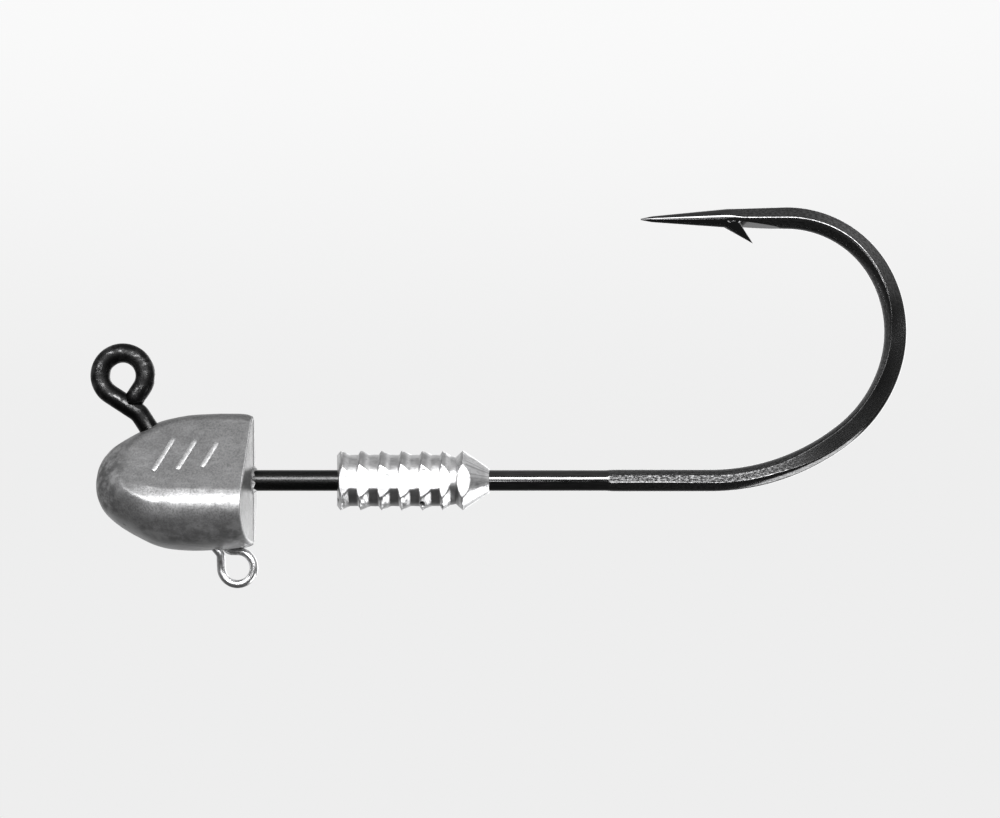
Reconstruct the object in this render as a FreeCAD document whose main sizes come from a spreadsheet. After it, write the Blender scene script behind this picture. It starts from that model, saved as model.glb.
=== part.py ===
"""Jig head: a forged hook with a cast lead head, a cast bait keeper and a wire eyelet under the belly.

Frame: +X runs along the shank from the head towards the bend, +Z points to the hook point side, Y goes
across.  The origin is where the shank's axis leaves the back of the head.  Sizes are in millimetres.
"""
import FreeCAD, Part
import math
import os

import Sketcher

from FreeCAD import Placement, Rotation, Vector

os.makedirs("parts", exist_ok=True)
doc = FreeCAD.newDocument("jig_head")
sheet = doc.addObject("Spreadsheet::Sheet", "sizes")
sheet.Label = "sizes"

# ---------------------------------------------------------------- driving sizes
SIZES = [
    # the hook wire and its eye
    ("wire_diameter", 2.16, "drawn wire of the shank"),
    ("neck_diameter", 2.00, "the wire is drawn a little thinner for the neck and the eye"),
    ("eye_radius", 2.33, "centre line of the line eye"),
    ("eye_centre_x", -13.51, "line eye along the shank"),
    ("eye_centre_z", 10.85, "line eye above the shank"),
    ("eye_join_angle", 33.0, "slope of the wire where it leaves the eye"),
    ("eye_seam", 0.05, "gap between the cut wire end and the neck"),
    ("neck_slope", 57.4, "slope of the neck to the shank: a sixty degree jig hook"),
    ("neck_bend_start", -5.71, "where the buried wire starts to turn up"),
    ("neck_bend_radius", 3.0, "buried bend"),
    ("neck_shoulder_radius", 2.2, "bend between the neck and the eye"),
    # the bend, forged on both sides
    ("forge_start", 36.55, "where the side flats begin"),
    ("forge_radius", 1.137, "forged wire, half its height"),
    ("forge_outer_half", 1.118, "half thickness where the flats end on the outside of the bend"),
    ("forge_inner_half", 0.953, "half thickness where the flats end on the inside of the bend"),
    ("bend_start", 47.2, "end of the straight shank"),
    ("bend_radius_one", 22.5, "slow first part of the bend"),
    ("bend_angle_one", 38.3, "its sweep"),
    ("bend_radius_two", 13.9, "second part"),
    ("bend_angle_two", 36.2, "its sweep"),
    ("bend_radius_three", 12.45, "third part; the last arc closes the bend and follows from the rest"),
    ("arm_root_x", 55.1, "where the bend runs into the point arm"),
    ("arm_height", 27.12, "point arm above the shank: the gape"),
    # the point and its barb
    ("point_base_x", 50.2, "where the needle taper of the point starts"),
    ("point_base_radius", 0.985, "half of the arm's width there"),
    ("point_straight", 1.2, "short straight part of the needle"),
    ("point_length", 10.15, "length of the needle"),
    ("point_droop", 0.7, "the point is turned in a little"),
    ("point_shoulder_radius", 0.31, "needle near its tip"),
    ("point_shoulder_back", 9.0, "distance of that from the base"),
    ("point_tip_radius", 0.13, "blunt end of the tip"),
    ("barb_tip_x", 51.64, "free end of the barb"),
    ("barb_tip_z", 24.50, "free end of the barb"),
    ("barb_front_x", 48.75, "front of the barb's root"),
    ("barb_front_z", 26.10, "front of the barb's root"),
    ("barb_back_x", 50.12, "back of the barb's root"),
    ("barb_back_z", 26.85, "back of the barb's root"),
    ("barb_axis_angle", 41.8, "slope of the barb"),
    ("barb_cone_length", 4.0, "cone that rounds the barb across"),
    ("barb_cone_radius", 1.20, "its radius at the root"),
    ("barb_cone_tip", 0.05, "its radius at the tip"),
    ("slice_length", 5.7, "length of the facet left by the barb's cut"),
    ("slice_width", 4.0, "the cut passes right across the wire"),
    ("slice_depth", 1.6, "and beyond its inside"),
    ("slice_pitch", 6.5, "slope of that facet along the arm"),
    ("slice_roll", 20.0, "slope of that facet across the arm"),
    ("slice_front_x", 50.1, "front end of the facet"),
    ("slice_front_z", 26.42, "front end of the facet"),
    # the bait keeper
    ("keeper_start", 8.62, "front end of the keeper"),
    ("keeper_rim_radius", 2.58, "front rim"),
    ("keeper_valley_radius", 2.65, "between the teeth"),
    ("keeper_crest_radius", 3.10, "top of the teeth"),
    ("keeper_first_crest", 9.02, "first crest"),
    ("keeper_tooth_pitch", 2.11, "crest to crest"),
    ("keeper_steep", 0.27, "steep side of a tooth"),
    ("keeper_slope", 1.01, "sloping side of a tooth"),
    ("keeper_neck_x", 20.95, "bottom of the last valley"),
    ("keeper_neck_radius", 2.43, "last valley, deeper than the others"),
    ("keeper_cone_start", 21.66, "base of the end cone"),
    ("keeper_end", 24.37, "small end of the cone"),
    ("keeper_end_radius", 1.24, "small end of the cone"),
    ("keeper_flat", 2.54, "side flats from the axis"),
    # the eyelet under the belly
    ("eyelet_wire", 0.85, "stainless wire"),
    ("eyelet_radius", 1.69, "centre line of the ring"),
    ("eyelet_x", -1.654, "ring centre along the shank"),
    ("eyelet_z", -9.022, "ring centre below the shank"),
    ("eyelet_leg_down", 1.11, "straight part beside the ring"),
    ("eyelet_leg_slope", 50.7, "slope of the buried legs"),
    ("eyelet_bend_radius", 0.85, "bends of the legs"),
    ("eyelet_top_run", 0.55, "wire along the belly"),
    ("eyelet_leg_one", 2.5, "buried leg, from the ring's front side"),
    ("eyelet_leg_two", 2.3, "buried leg, from the ring's top"),
    # the head
    ("back_draft", 5.3, "mould draft of the back face"),
    ("draft_width", 9.0, "the draft cut passes the sides of the head"),
    ("draft_behind", 1.0, "and runs clear behind it"),
    ("side_slant", 30.0, "slope of the head's sides where the gill bars stand"),
    ("mark_length", 4.4, "longest gill bar"),
    ("mark_step", 0.5, "each gill bar is shorter by this"),
    ("mark_width", 0.62, "width of a gill bar"),
    ("mark_height", 0.17, "how far a gill bar stands out"),
    ("mark_depth", 1.2, "its whole depth, most of it inside the head"),
    ("mark_spacing", 2.35, "distance between the gill bars"),
    ("mark_first_x", -8.7, "first gill bar"),
    ("mark_z", 2.75, "middle of the gill bars"),
    ("mark_lean", 24.0, "lean of the gill bars"),
]

# Loft stations of the head: distance behind the nose, top edge, belly, half width,
# height of the widest point, rounding of the widest point, rounding of the top edge.
NOSE_X = -16.08
STATION_FIELDS = ["back", "top", "belly", "half", "ridge", "corner", "crown"]
STATIONS = [
    ("st_a", [0.00, 0.28, -1.12, 0.62, -0.43, 0.46, 0.40]),
    ("st_b", [0.12, 1.02, -1.76, 1.30, -0.43, 1.12, 1.00]),
    ("st_c", [0.35, 1.68, -2.40, 1.95, -0.44, 1.70, 1.45]),
    ("st_d", [0.80, 2.45, -3.22, 2.72, -0.52, 2.20, 1.75]),
    ("st_e", [1.55, 3.26, -4.02, 3.52, -0.66, 2.60, 1.92]),
    ("st_f", [2.70, 4.04, -4.92, 4.28, -0.92, 2.85, 1.85]),
    ("st_g", [4.30, 4.94, -5.84, 4.95, -1.32, 2.88, 1.60]),
    ("st_h", [6.50, 6.02, -6.82, 5.47, -1.82, 2.72, 1.32]),
    ("st_i", [9.40, 6.66, -7.18, 5.68, -2.14, 2.54, 1.13]),
    ("st_j", [12.80, 6.83, -7.11, 5.72, -2.24, 2.50, 1.06]),
    ("st_k", [15.20, 6.79, -6.88, 5.70, -2.24, 2.50, 1.04]),
    ("st_l", [16.08, 6.50, -6.58, 5.64, -2.24, 2.48, 1.02]),
]

value = {}


def write_cell(row, name, number, note):
    """One driving size: its name, its value under that name, and what it is."""
    sheet.set("A%d" % row, name)
    sheet.set("B%d" % row, "%.6g" % number)
    sheet.setAlias("B%d" % row, name)
    sheet.set("C%d" % row, note)
    value[name] = number


row = 1
for name, number, note in SIZES:
    write_cell(row, name, number, note)
    row += 1
for station, numbers in STATIONS:
    for field, number in zip(STATION_FIELDS, numbers):
        write_cell(row, station + "_" + field, number, "head station, " + field)
        row += 1
write_cell(row, "nose_x", NOSE_X, "front of the head")
doc.recompute()


# ---------------------------------------------------------------- small helpers
def bind(thing, prop, text):
    """Drive a property by an expression; names of cells stand between bars."""
    parts = text.split("|")
    for index in range(1, len(parts), 2):
        parts[index] = "<<sizes>>." + parts[index]
    thing.setExpression(prop, "".join(parts))


def new_body(name):
    """A PartDesign body."""
    return doc.addObject("PartDesign::Body", name)


def origin_plane(body, role):
    """The body's own origin plane with this role."""
    for feature in body.Origin.OriginFeatures:
        if feature.Role == role:
            return feature
    raise ValueError(role)


def new_sketch(body, name, role, offset=None):
    """A sketch on one of the body's own planes, moved along the plane's normal by a cell."""
    sketch = body.newObject("Sketcher::SketchObject", name)
    sketch.AttachmentSupport = [(origin_plane(body, role), "")]
    sketch.MapMode = "FlatFace"
    if offset:
        bind(sketch, ".AttachmentOffset.Base.z", offset)
    return sketch


def point(x, y):
    """A point of a sketch."""
    return Vector(x, y, 0)


def driven(sketch, constraint, text):
    """Add a dimension and let a cell drive it."""
    index = sketch.addConstraint(constraint)
    bind(sketch, "Constraints[%d]" % index, text)
    return index


def closed_outline(sketch, corners):
    """A closed outline of straight lines; a corner is (x, y, cell text of x, cell text of y)."""
    count = len(corners)
    for index in range(count):
        here = corners[index]
        there = corners[(index + 1) % count]
        sketch.addGeometry(Part.LineSegment(point(here[0], here[1]), point(there[0], there[1])), False)
    for index in range(count):
        sketch.addConstraint(Sketcher.Constraint("Coincident", index, 2, (index + 1) % count, 1))
    for index, corner in enumerate(corners):
        if corner[2] == "0":
            sketch.addConstraint(Sketcher.Constraint("PointOnObject", index, 1, -2))
        else:
            driven(sketch, Sketcher.Constraint("DistanceX", -1, 1, index, 1, corner[0]), corner[2])
        if corner[3] == "0":
            sketch.addConstraint(Sketcher.Constraint("PointOnObject", index, 1, -1))
        else:
            driven(sketch, Sketcher.Constraint("DistanceY", -1, 1, index, 1, corner[1]), corner[3])


def circle_sketch(sketch, radius, text):
    """A circle round the sketch origin."""
    sketch.addGeometry(Part.Circle(point(0, 0), Vector(0, 0, 1), radius), False)
    sketch.addConstraint(Sketcher.Constraint("Coincident", 0, 3, -1, 1))
    driven(sketch, Sketcher.Constraint("Radius", 0, radius), text)


def flatted_round(sketch, radius, top_half, bottom_half, radius_text, top_text, bottom_text):
    """Wire section round the sketch origin with a slanting flat on both sides.

    The half widths are those where the flats meet the round of the top and of the bottom."""
    top_rise = math.sqrt(radius * radius - top_half * top_half)
    bottom_rise = math.sqrt(radius * radius - bottom_half * bottom_half)
    top_angle = math.atan2(top_rise, top_half)
    bottom_angle = math.atan2(bottom_rise, bottom_half)
    round_wire = Part.Circle(point(0, 0), Vector(0, 0, 1), radius)
    sketch.addGeometry(Part.ArcOfCircle(round_wire, top_angle, math.pi - top_angle), False)
    sketch.addGeometry(Part.LineSegment(point(-top_half, top_rise), point(-bottom_half, -bottom_rise)), False)
    sketch.addGeometry(Part.ArcOfCircle(round_wire, math.pi + bottom_angle, 2 * math.pi - bottom_angle), False)
    sketch.addGeometry(Part.LineSegment(point(bottom_half, -bottom_rise), point(top_half, top_rise)), False)
    joints = [(0, 2, 1, 1), (1, 2, 2, 1), (2, 2, 3, 1), (3, 2, 0, 1)]
    for first, first_end, second, second_end in joints:
        sketch.addConstraint(Sketcher.Constraint("Coincident", first, first_end, second, second_end))
    sketch.addConstraint(Sketcher.Constraint("Coincident", 0, 3, -1, 1))
    sketch.addConstraint(Sketcher.Constraint("Coincident", 2, 3, -1, 1))
    sketch.addConstraint(Sketcher.Constraint("Equal", 0, 2))
    driven(sketch, Sketcher.Constraint("Radius", 0, radius), radius_text)
    driven(sketch, Sketcher.Constraint("DistanceX", 1, 1, -1, 1, top_half), top_text)
    driven(sketch, Sketcher.Constraint("DistanceX", -1, 1, 3, 2, top_half), top_text)
    driven(sketch, Sketcher.Constraint("DistanceX", 1, 2, -1, 1, bottom_half), bottom_text)
    driven(sketch, Sketcher.Constraint("DistanceX", -1, 1, 3, 1, bottom_half), bottom_text)


def turn(x, y, heading, radius, sweep):
    """Arc that starts at a point along a heading; a positive sweep turns left.  All in radians."""
    side = 1 if sweep > 0 else -1
    centre_x = x - side * radius * math.sin(heading)
    centre_y = y + side * radius * math.cos(heading)
    start = heading - side * math.pi / 2
    end = start + sweep
    circle = Part.Circle(point(centre_x, centre_y), Vector(0, 0, 1), radius)
    low, high = (start, end) if sweep > 0 else (end, start)
    arc = Part.ArcOfCircle(circle, low, high)
    return arc, centre_x + radius * math.cos(end), centre_y + radius * math.sin(end), heading + sweep


def pipe(body, name, profile, path):
    """Sweep a profile along a path sketch."""
    feature = body.newObject("PartDesign::AdditivePipe", name)
    feature.Profile = profile
    feature.Spine = (path, ["Edge%d" % (index + 1) for index in range(path.GeometryCount)])
    body.Tip = feature
    return feature


def boolean(kind, name, base, tool):
    """Cut, fuse or common of two objects."""
    feature = doc.addObject("Part::" + kind, name)
    feature.Base = base
    feature.Tool = tool
    return feature


# ---------------------------------------------------------------- the hook
def neck_path(body):
    """Centre line from the buried bend up the neck to the eye."""
    sketch = new_sketch(body, "neck_path", "XZ_Plane")
    slope = math.radians(value["neck_slope"])
    join = math.radians(value["eye_join_angle"])
    bend = value["neck_bend_radius"]
    shoulder = value["neck_shoulder_radius"]
    end_x = value["eye_centre_x"] - value["eye_radius"] * math.sin(join)
    end_y = value["eye_centre_z"] - value["eye_radius"] * math.cos(join)
    arc, x, y, heading = turn(value["neck_bend_start"], 0.0, math.pi, bend, -slope)
    # the neck's straight line meets the line that runs tangent to the eye
    to_end = (end_x - x, end_y - y)
    last = math.pi - join
    cross = math.cos(heading) * math.sin(last) - math.sin(heading) * math.cos(last)
    reach = (to_end[0] * math.sin(last) - to_end[1] * math.cos(last)) / cross
    setback = shoulder * math.tan((last - heading) / 2)
    straight = reach - setback
    corner_x = x + straight * math.cos(heading)
    corner_y = y + straight * math.sin(heading)
    second, after_x, after_y, ignored = turn(corner_x, corner_y, heading, shoulder, last - heading)
    sketch.addGeometry(arc, False)
    sketch.addGeometry(Part.LineSegment(point(x, y), point(corner_x, corner_y)), False)
    sketch.addGeometry(second, False)
    sketch.addGeometry(Part.LineSegment(point(after_x, after_y), point(end_x, end_y)), False)
    # the first arc runs clockwise, so its path start is its second end
    sketch.addConstraint(Sketcher.Constraint("Tangent", 0, 1, 1, 1))
    sketch.addConstraint(Sketcher.Constraint("Tangent", 1, 2, 2, 1))
    sketch.addConstraint(Sketcher.Constraint("Tangent", 2, 2, 3, 1))
    sketch.addConstraint(Sketcher.Constraint("PointOnObject", 0, 2, -1))
    driven(sketch, Sketcher.Constraint("DistanceX", -1, 1, 0, 2, value["neck_bend_start"]), "|neck_bend_start|")
    sketch.addConstraint(Sketcher.Constraint("Vertical", 0, 2, 0, 3))
    driven(sketch, Sketcher.Constraint("Radius", 0, bend), "|neck_bend_radius|")
    driven(sketch, Sketcher.Constraint("Radius", 2, shoulder), "|neck_shoulder_radius|")
    driven(sketch, Sketcher.Constraint("Angle", 1, math.pi - slope), "180 - |neck_slope|")
    driven(sketch, Sketcher.Constraint("Angle", 3, math.pi - join), "180 - |eye_join_angle|")
    driven(sketch, Sketcher.Constraint("DistanceX", -1, 1, 3, 2, end_x),
           "|eye_centre_x| - |eye_radius| * sin(|eye_join_angle| * 1 deg)")
    driven(sketch, Sketcher.Constraint("DistanceY", -1, 1, 3, 2, end_y),
           "|eye_centre_z| - |eye_radius| * cos(|eye_join_angle| * 1 deg)")
    return sketch


def bend_path(body):
    """Centre line of the forged part: the last of the shank and the bend, up to the point arm."""
    sketch = new_sketch(body, "bend_path", "XZ_Plane")
    start = value["forge_start"]
    begin = value["bend_start"]
    sketch.addGeometry(Part.LineSegment(point(start, 0), point(begin, 0)), False)
    arc, x, y, heading = turn(begin, 0.0, 0.0, value["bend_radius_one"], math.radians(value["bend_angle_one"]))
    sketch.addGeometry(arc, False)
    arc, x, y, heading = turn(x, y, heading, value["bend_radius_two"], math.radians(value["bend_angle_two"]))
    sketch.addGeometry(arc, False)
    # the sweep of the third arc and the radius of the last one are first guesses that the solver settles
    third_sweep = math.radians(52.7)
    last_radius = 10.8
    arc, x, y, heading = turn(x, y, heading, value["bend_radius_three"], third_sweep)
    sketch.addGeometry(arc, False)
    arc, x, y, heading = turn(x, y, heading, last_radius, math.pi - heading)
    sketch.addGeometry(arc, False)
    for index in range(4):
        sketch.addConstraint(Sketcher.Constraint("Tangent", index, 2, index + 1, 1))
    sketch.addConstraint(Sketcher.Constraint("PointOnObject", 0, 1, -1))
    sketch.addConstraint(Sketcher.Constraint("PointOnObject", 0, 2, -1))
    driven(sketch, Sketcher.Constraint("DistanceX", -1, 1, 0, 1, start), "|forge_start|")
    driven(sketch, Sketcher.Constraint("DistanceX", -1, 1, 0, 2, begin), "|bend_start|")
    driven(sketch, Sketcher.Constraint("Radius", 1, value["bend_radius_one"]), "|bend_radius_one|")
    driven(sketch, Sketcher.Constraint("Angle", 1, math.radians(value["bend_angle_one"])),
           "|bend_angle_one| * 1 deg")
    driven(sketch, Sketcher.Constraint("Radius", 2, value["bend_radius_two"]), "|bend_radius_two|")
    driven(sketch, Sketcher.Constraint("Angle", 2, math.radians(value["bend_angle_two"])),
           "|bend_angle_two| * 1 deg")
    driven(sketch, Sketcher.Constraint("Radius", 3, value["bend_radius_three"]), "|bend_radius_three|")
    sketch.addConstraint(Sketcher.Constraint("Vertical", 4, 2, 4, 3))
    driven(sketch, Sketcher.Constraint("DistanceX", -1, 1, 4, 2, x), "|arm_root_x|")
    driven(sketch, Sketcher.Constraint("DistanceY", -1, 1, 4, 2, y), "|arm_height|")
    return sketch


def arm_section(body, name, x_text, sizes, texts):
    """Cross-section of the point arm; the outside of the bend is at its top."""
    sketch = new_sketch(body, name, "YZ_Plane", x_text)
    bind(sketch, ".AttachmentOffset.Base.y", "|arm_height|")
    radius, outer_half, inner_half = sizes
    flatted_round(sketch, radius, outer_half, inner_half, *texts)
    return sketch


def needle(body):
    """The point: a long taper with a small blunt tip."""
    sketch = new_sketch(body, "needle_outline", "XZ_Plane")
    bind(sketch, ".AttachmentOffset.Base.x", "|point_base_x|")
    bind(sketch, ".AttachmentOffset.Base.y", "|arm_height|")
    bind(sketch, ".AttachmentOffset.Rotation.Angle", "|point_droop| * 1 deg")
    radius = value["point_base_radius"]
    length = value["point_length"]
    closed_outline(sketch, [
        (0.0, 0.0, "0", "0"),
        (0.0, radius, "0", "|point_base_radius|"),
        (-value["point_straight"], radius, "-|point_straight|", "|point_base_radius|"),
        (-value["point_shoulder_back"], value["point_shoulder_radius"],
         "-|point_shoulder_back|", "|point_shoulder_radius|"),
        (-length, value["point_tip_radius"], "-|point_length|", "|point_tip_radius|"),
        (-length, 0.0, "-|point_length|", "0"),
    ])
    feature = body.newObject("PartDesign::Revolution", "needle")
    feature.Profile = sketch
    feature.ReferenceAxis = (sketch, ["H_Axis"])
    feature.Angle = 360
    body.Tip = feature


def hook_wire():
    """Shank, neck, forged bend, point arm and point: everything but the eye and the barb."""
    body = new_body("hook_wire")
    section = new_sketch(body, "shank_section", "YZ_Plane", "|neck_bend_start|")
    circle_sketch(section, value["wire_diameter"] / 2, "|wire_diameter| / 2")
    shank = body.newObject("PartDesign::Pad", "shank")
    shank.Profile = section
    shank.Length = value["forge_start"] - value["neck_bend_start"]
    bind(shank, "Length", "|forge_start| - |neck_bend_start|")
    body.Tip = shank
    doc.recompute()

    section = new_sketch(body, "neck_section", "YZ_Plane", "|neck_bend_start|")
    circle_sketch(section, value["neck_diameter"] / 2, "|neck_diameter| / 2")
    path = neck_path(body)
    doc.recompute()
    pipe(body, "neck", section, path)
    doc.recompute()

    section = new_sketch(body, "forge_section", "YZ_Plane", "|forge_start|")
    flatted_round(section, value["forge_radius"], value["forge_inner_half"], value["forge_outer_half"],
                  "|forge_radius|", "|forge_inner_half|", "|forge_outer_half|")
    path = bend_path(body)
    doc.recompute()
    pipe(body, "forged_bend", section, path)
    doc.recompute()

    root = arm_section(body, "arm_root_section", "|arm_root_x|",
                       (value["forge_radius"], value["forge_outer_half"], value["forge_inner_half"]),
                       ("|forge_radius|", "|forge_outer_half|", "|forge_inner_half|"))
    # the flats have almost run out where the needle starts
    base = value["point_base_radius"]
    end = arm_section(body, "arm_end_section", "|point_base_x|", (base, base * 0.995, base * 0.97),
                      ("|point_base_radius|", "|point_base_radius| * 0.995", "|point_base_radius| * 0.97"))
    arm = body.newObject("PartDesign::AdditiveLoft", "point_arm")
    arm.Profile = root
    arm.Sections = [end]
    body.Tip = arm
    doc.recompute()
    needle(body)
    doc.recompute()
    return body


def eye_ring():
    """The closed line eye: three quarters of a ring and a straight end that saddles the neck."""
    join = value["eye_join_angle"]
    radius = value["eye_radius"]
    # in the eye's own frame its X axis runs along the wire that leaves it, and the neck lies below
    lean = Rotation(Vector(0, 1, 0), join)
    centre = Vector(value["eye_centre_x"], 0, value["eye_centre_z"])

    def place(thing, offset, turned):
        thing.Placement = Placement(centre + lean.multVec(offset), lean.multiply(turned))

    ring = doc.addObject("Part::Torus", "eye_ring")
    bind(ring, "Radius1", "|eye_radius|")
    bind(ring, "Radius2", "|neck_diameter| / 2")
    ring.Angle3 = 270
    # laid with its axis along +Y and its start at the neck, so that it runs clockwise
    start = Rotation(Vector(0, 1, 0), 90).multiply(Rotation(Vector(1, 0, 0), -90))
    place(ring, Vector(0, 0, 0), start)
    end = doc.addObject("Part::Cylinder", "eye_end")
    bind(end, "Radius", "|neck_diameter| / 2")
    bind(end, "Height", "|eye_radius|")
    place(end, Vector(radius, 0, -radius), Rotation())
    seat = doc.addObject("Part::Cylinder", "eye_seat")
    bind(seat, "Radius", "|neck_diameter| / 2 + |eye_seam|")
    bind(seat, "Height", "3 * |neck_diameter|")
    place(seat, Vector(0, 0, -radius), Rotation(Vector(0, 1, 0), 90))
    doc.recompute()
    saddled = boolean("Cut", "eye_saddle", end, seat)
    return boolean("Fuse", "eye", ring, saddled)


def barb():
    """Sliver raised from the inside of the arm, rounded across like the wire it was cut from."""
    body = new_body("barb_blank")
    sketch = new_sketch(body, "barb_outline", "XZ_Plane")
    closed_outline(sketch, [
        (value["barb_tip_x"], value["barb_tip_z"], "|barb_tip_x|", "|barb_tip_z|"),
        (value["barb_back_x"], value["barb_back_z"], "|barb_back_x|", "|barb_back_z|"),
        (value["barb_front_x"], value["barb_back_z"], "|barb_front_x|", "|barb_back_z|"),
        (value["barb_front_x"], value["barb_front_z"], "|barb_front_x|", "|barb_front_z|"),
    ])
    blank = body.newObject("PartDesign::Pad", "barb_pad")
    blank.Profile = sketch
    bind(blank, "Length", "3 * |barb_cone_radius|")
    blank.Midplane = True
    body.Tip = blank
    cone = doc.addObject("Part::Cone", "barb_cone")
    bind(cone, "Radius1", "|barb_cone_tip|")
    bind(cone, "Radius2", "|barb_cone_radius|")
    bind(cone, "Height", "|barb_cone_length|")
    slope = math.radians(value["barb_axis_angle"])
    along = Vector(-math.cos(slope), 0, math.sin(slope))
    cone.Placement = Placement(Vector(value["barb_tip_x"], 0, value["barb_tip_z"]),
                               Rotation(Vector(0, 0, 1), along))
    return boolean("Common", "barb_sliver", body, cone)


def barb_slice():
    """What the barb's cut takes off the arm behind it."""
    box = doc.addObject("Part::Box", "barb_slice")
    bind(box, "Length", "|slice_length|")
    bind(box, "Width", "|slice_width|")
    bind(box, "Height", "|slice_depth|")
    pitch = Rotation(Vector(0, 1, 0), value["slice_pitch"])
    roll = Rotation(Vector(1, 0, 0), -value["slice_roll"])
    lean = pitch.multiply(roll)
    corner = lean.multVec(Vector(0, -value["slice_width"] / 2, -value["slice_depth"]))
    box.Placement = Placement(Vector(value["slice_front_x"], 0, value["slice_front_z"]) + corner, lean)
    return box


def make_hook():
    """The whole hook, one piece of wire."""
    wire = hook_wire()
    eye = eye_ring()
    wire_and_eye = boolean("Fuse", "wire_and_eye", wire, eye)
    sliced = boolean("Cut", "sliced_wire", wire_and_eye, barb_slice())
    hook = boolean("Fuse", "hook", sliced, barb())
    hook.Label = "hook"
    return hook


# ---------------------------------------------------------------- the belly eyelet
def leg_of_eyelet(sketch, line, x, y, heading, sweep, reach, length_text):
    """Bend and straight buried leg that carry on from the free end of a line of the path."""
    small = value["eyelet_bend_radius"]
    first = sketch.GeometryCount
    arc, x, y, heading = turn(x, y, heading, small, sweep)
    sketch.addGeometry(arc, False)
    end = point(x + reach * math.cos(heading), y + reach * math.sin(heading))
    sketch.addGeometry(Part.LineSegment(point(x, y), end), False)
    # an arc that turns left begins at its first end, one that turns right at its second
    begin, finish = (1, 2) if sweep > 0 else (2, 1)
    sketch.addConstraint(Sketcher.Constraint("Tangent", first, begin, line, 2))
    sketch.addConstraint(Sketcher.Constraint("Tangent", first, finish, first + 1, 1))
    driven(sketch, Sketcher.Constraint("Radius", first, small), "|eyelet_bend_radius|")
    driven(sketch, Sketcher.Constraint("Angle", first + 1, heading), "180 - |eyelet_leg_slope|")
    driven(sketch, Sketcher.Constraint("Distance", first + 1, reach), length_text)


def front_leg_path(body):
    """Centre line from the ring's front side up into the belly."""
    sketch = new_sketch(body, "front_leg_path", "XZ_Plane")
    slope = math.radians(value["eyelet_leg_slope"])
    side_x = value["eyelet_x"] - value["eyelet_radius"]
    low = value["eyelet_z"]
    high = low + value["eyelet_leg_down"]
    sketch.addGeometry(Part.LineSegment(point(side_x, low), point(side_x, high)), False)
    sketch.addConstraint(Sketcher.Constraint("Vertical", 0))
    driven(sketch, Sketcher.Constraint("DistanceX", -1, 1, 0, 1, side_x), "|eyelet_x| - |eyelet_radius|")
    driven(sketch, Sketcher.Constraint("DistanceY", -1, 1, 0, 1, low), "|eyelet_z|")
    driven(sketch, Sketcher.Constraint("Distance", 0, value["eyelet_leg_down"]), "|eyelet_leg_down|")
    leg_of_eyelet(sketch, 0, side_x, high, math.pi / 2, math.pi / 2 - slope, value["eyelet_leg_one"],
                  "|eyelet_leg_one|")
    return sketch


def ring_path(body):
    """Centre line round the ring, along the belly and up into it."""
    sketch = new_sketch(body, "ring_path", "XZ_Plane")
    radius = value["eyelet_radius"]
    slope = math.radians(value["eyelet_leg_slope"])
    top_y = value["eyelet_z"] + radius
    run_x = value["eyelet_x"] - value["eyelet_top_run"]
    ring = Part.Circle(point(value["eyelet_x"], value["eyelet_z"]), Vector(0, 0, 1), radius)
    sketch.addGeometry(Part.ArcOfCircle(ring, -math.pi, math.pi / 2), False)
    sketch.addGeometry(Part.LineSegment(point(value["eyelet_x"], top_y), point(run_x, top_y)), False)
    sketch.addConstraint(Sketcher.Constraint("Tangent", 0, 2, 1, 1))
    sketch.addConstraint(Sketcher.Constraint("Horizontal", 1))
    sketch.addConstraint(Sketcher.Constraint("Horizontal", 0, 1, 0, 3))
    driven(sketch, Sketcher.Constraint("DistanceX", -1, 1, 0, 3, value["eyelet_x"]), "|eyelet_x|")
    driven(sketch, Sketcher.Constraint("DistanceY", -1, 1, 0, 3, value["eyelet_z"]), "|eyelet_z|")
    driven(sketch, Sketcher.Constraint("Radius", 0, radius), "|eyelet_radius|")
    driven(sketch, Sketcher.Constraint("Distance", 1, value["eyelet_top_run"]), "|eyelet_top_run|")
    leg_of_eyelet(sketch, 1, run_x, top_y, math.pi, -slope, value["eyelet_leg_two"], "|eyelet_leg_two|")
    return sketch


def make_eyelet():
    """Thin wire ring whose two legs are cast into the belly."""
    body = new_body("belly_eyelet")
    for name, make_path in (("front_leg", front_leg_path), ("ring", ring_path)):
        path = make_path(body)
        # the wire's section lies beside the ring's centre, on its front side
        section = new_sketch(body, name + "_section", "XY_Plane", "|eyelet_z|")
        bind(section, ".AttachmentOffset.Base.x", "|eyelet_x| - |eyelet_radius|")
        circle_sketch(section, value["eyelet_wire"] / 2, "|eyelet_wire| / 2")
        doc.recompute()
        pipe(body, name, section, path)
        doc.recompute()
    body.Label = "belly_eyelet"
    return body


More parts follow.
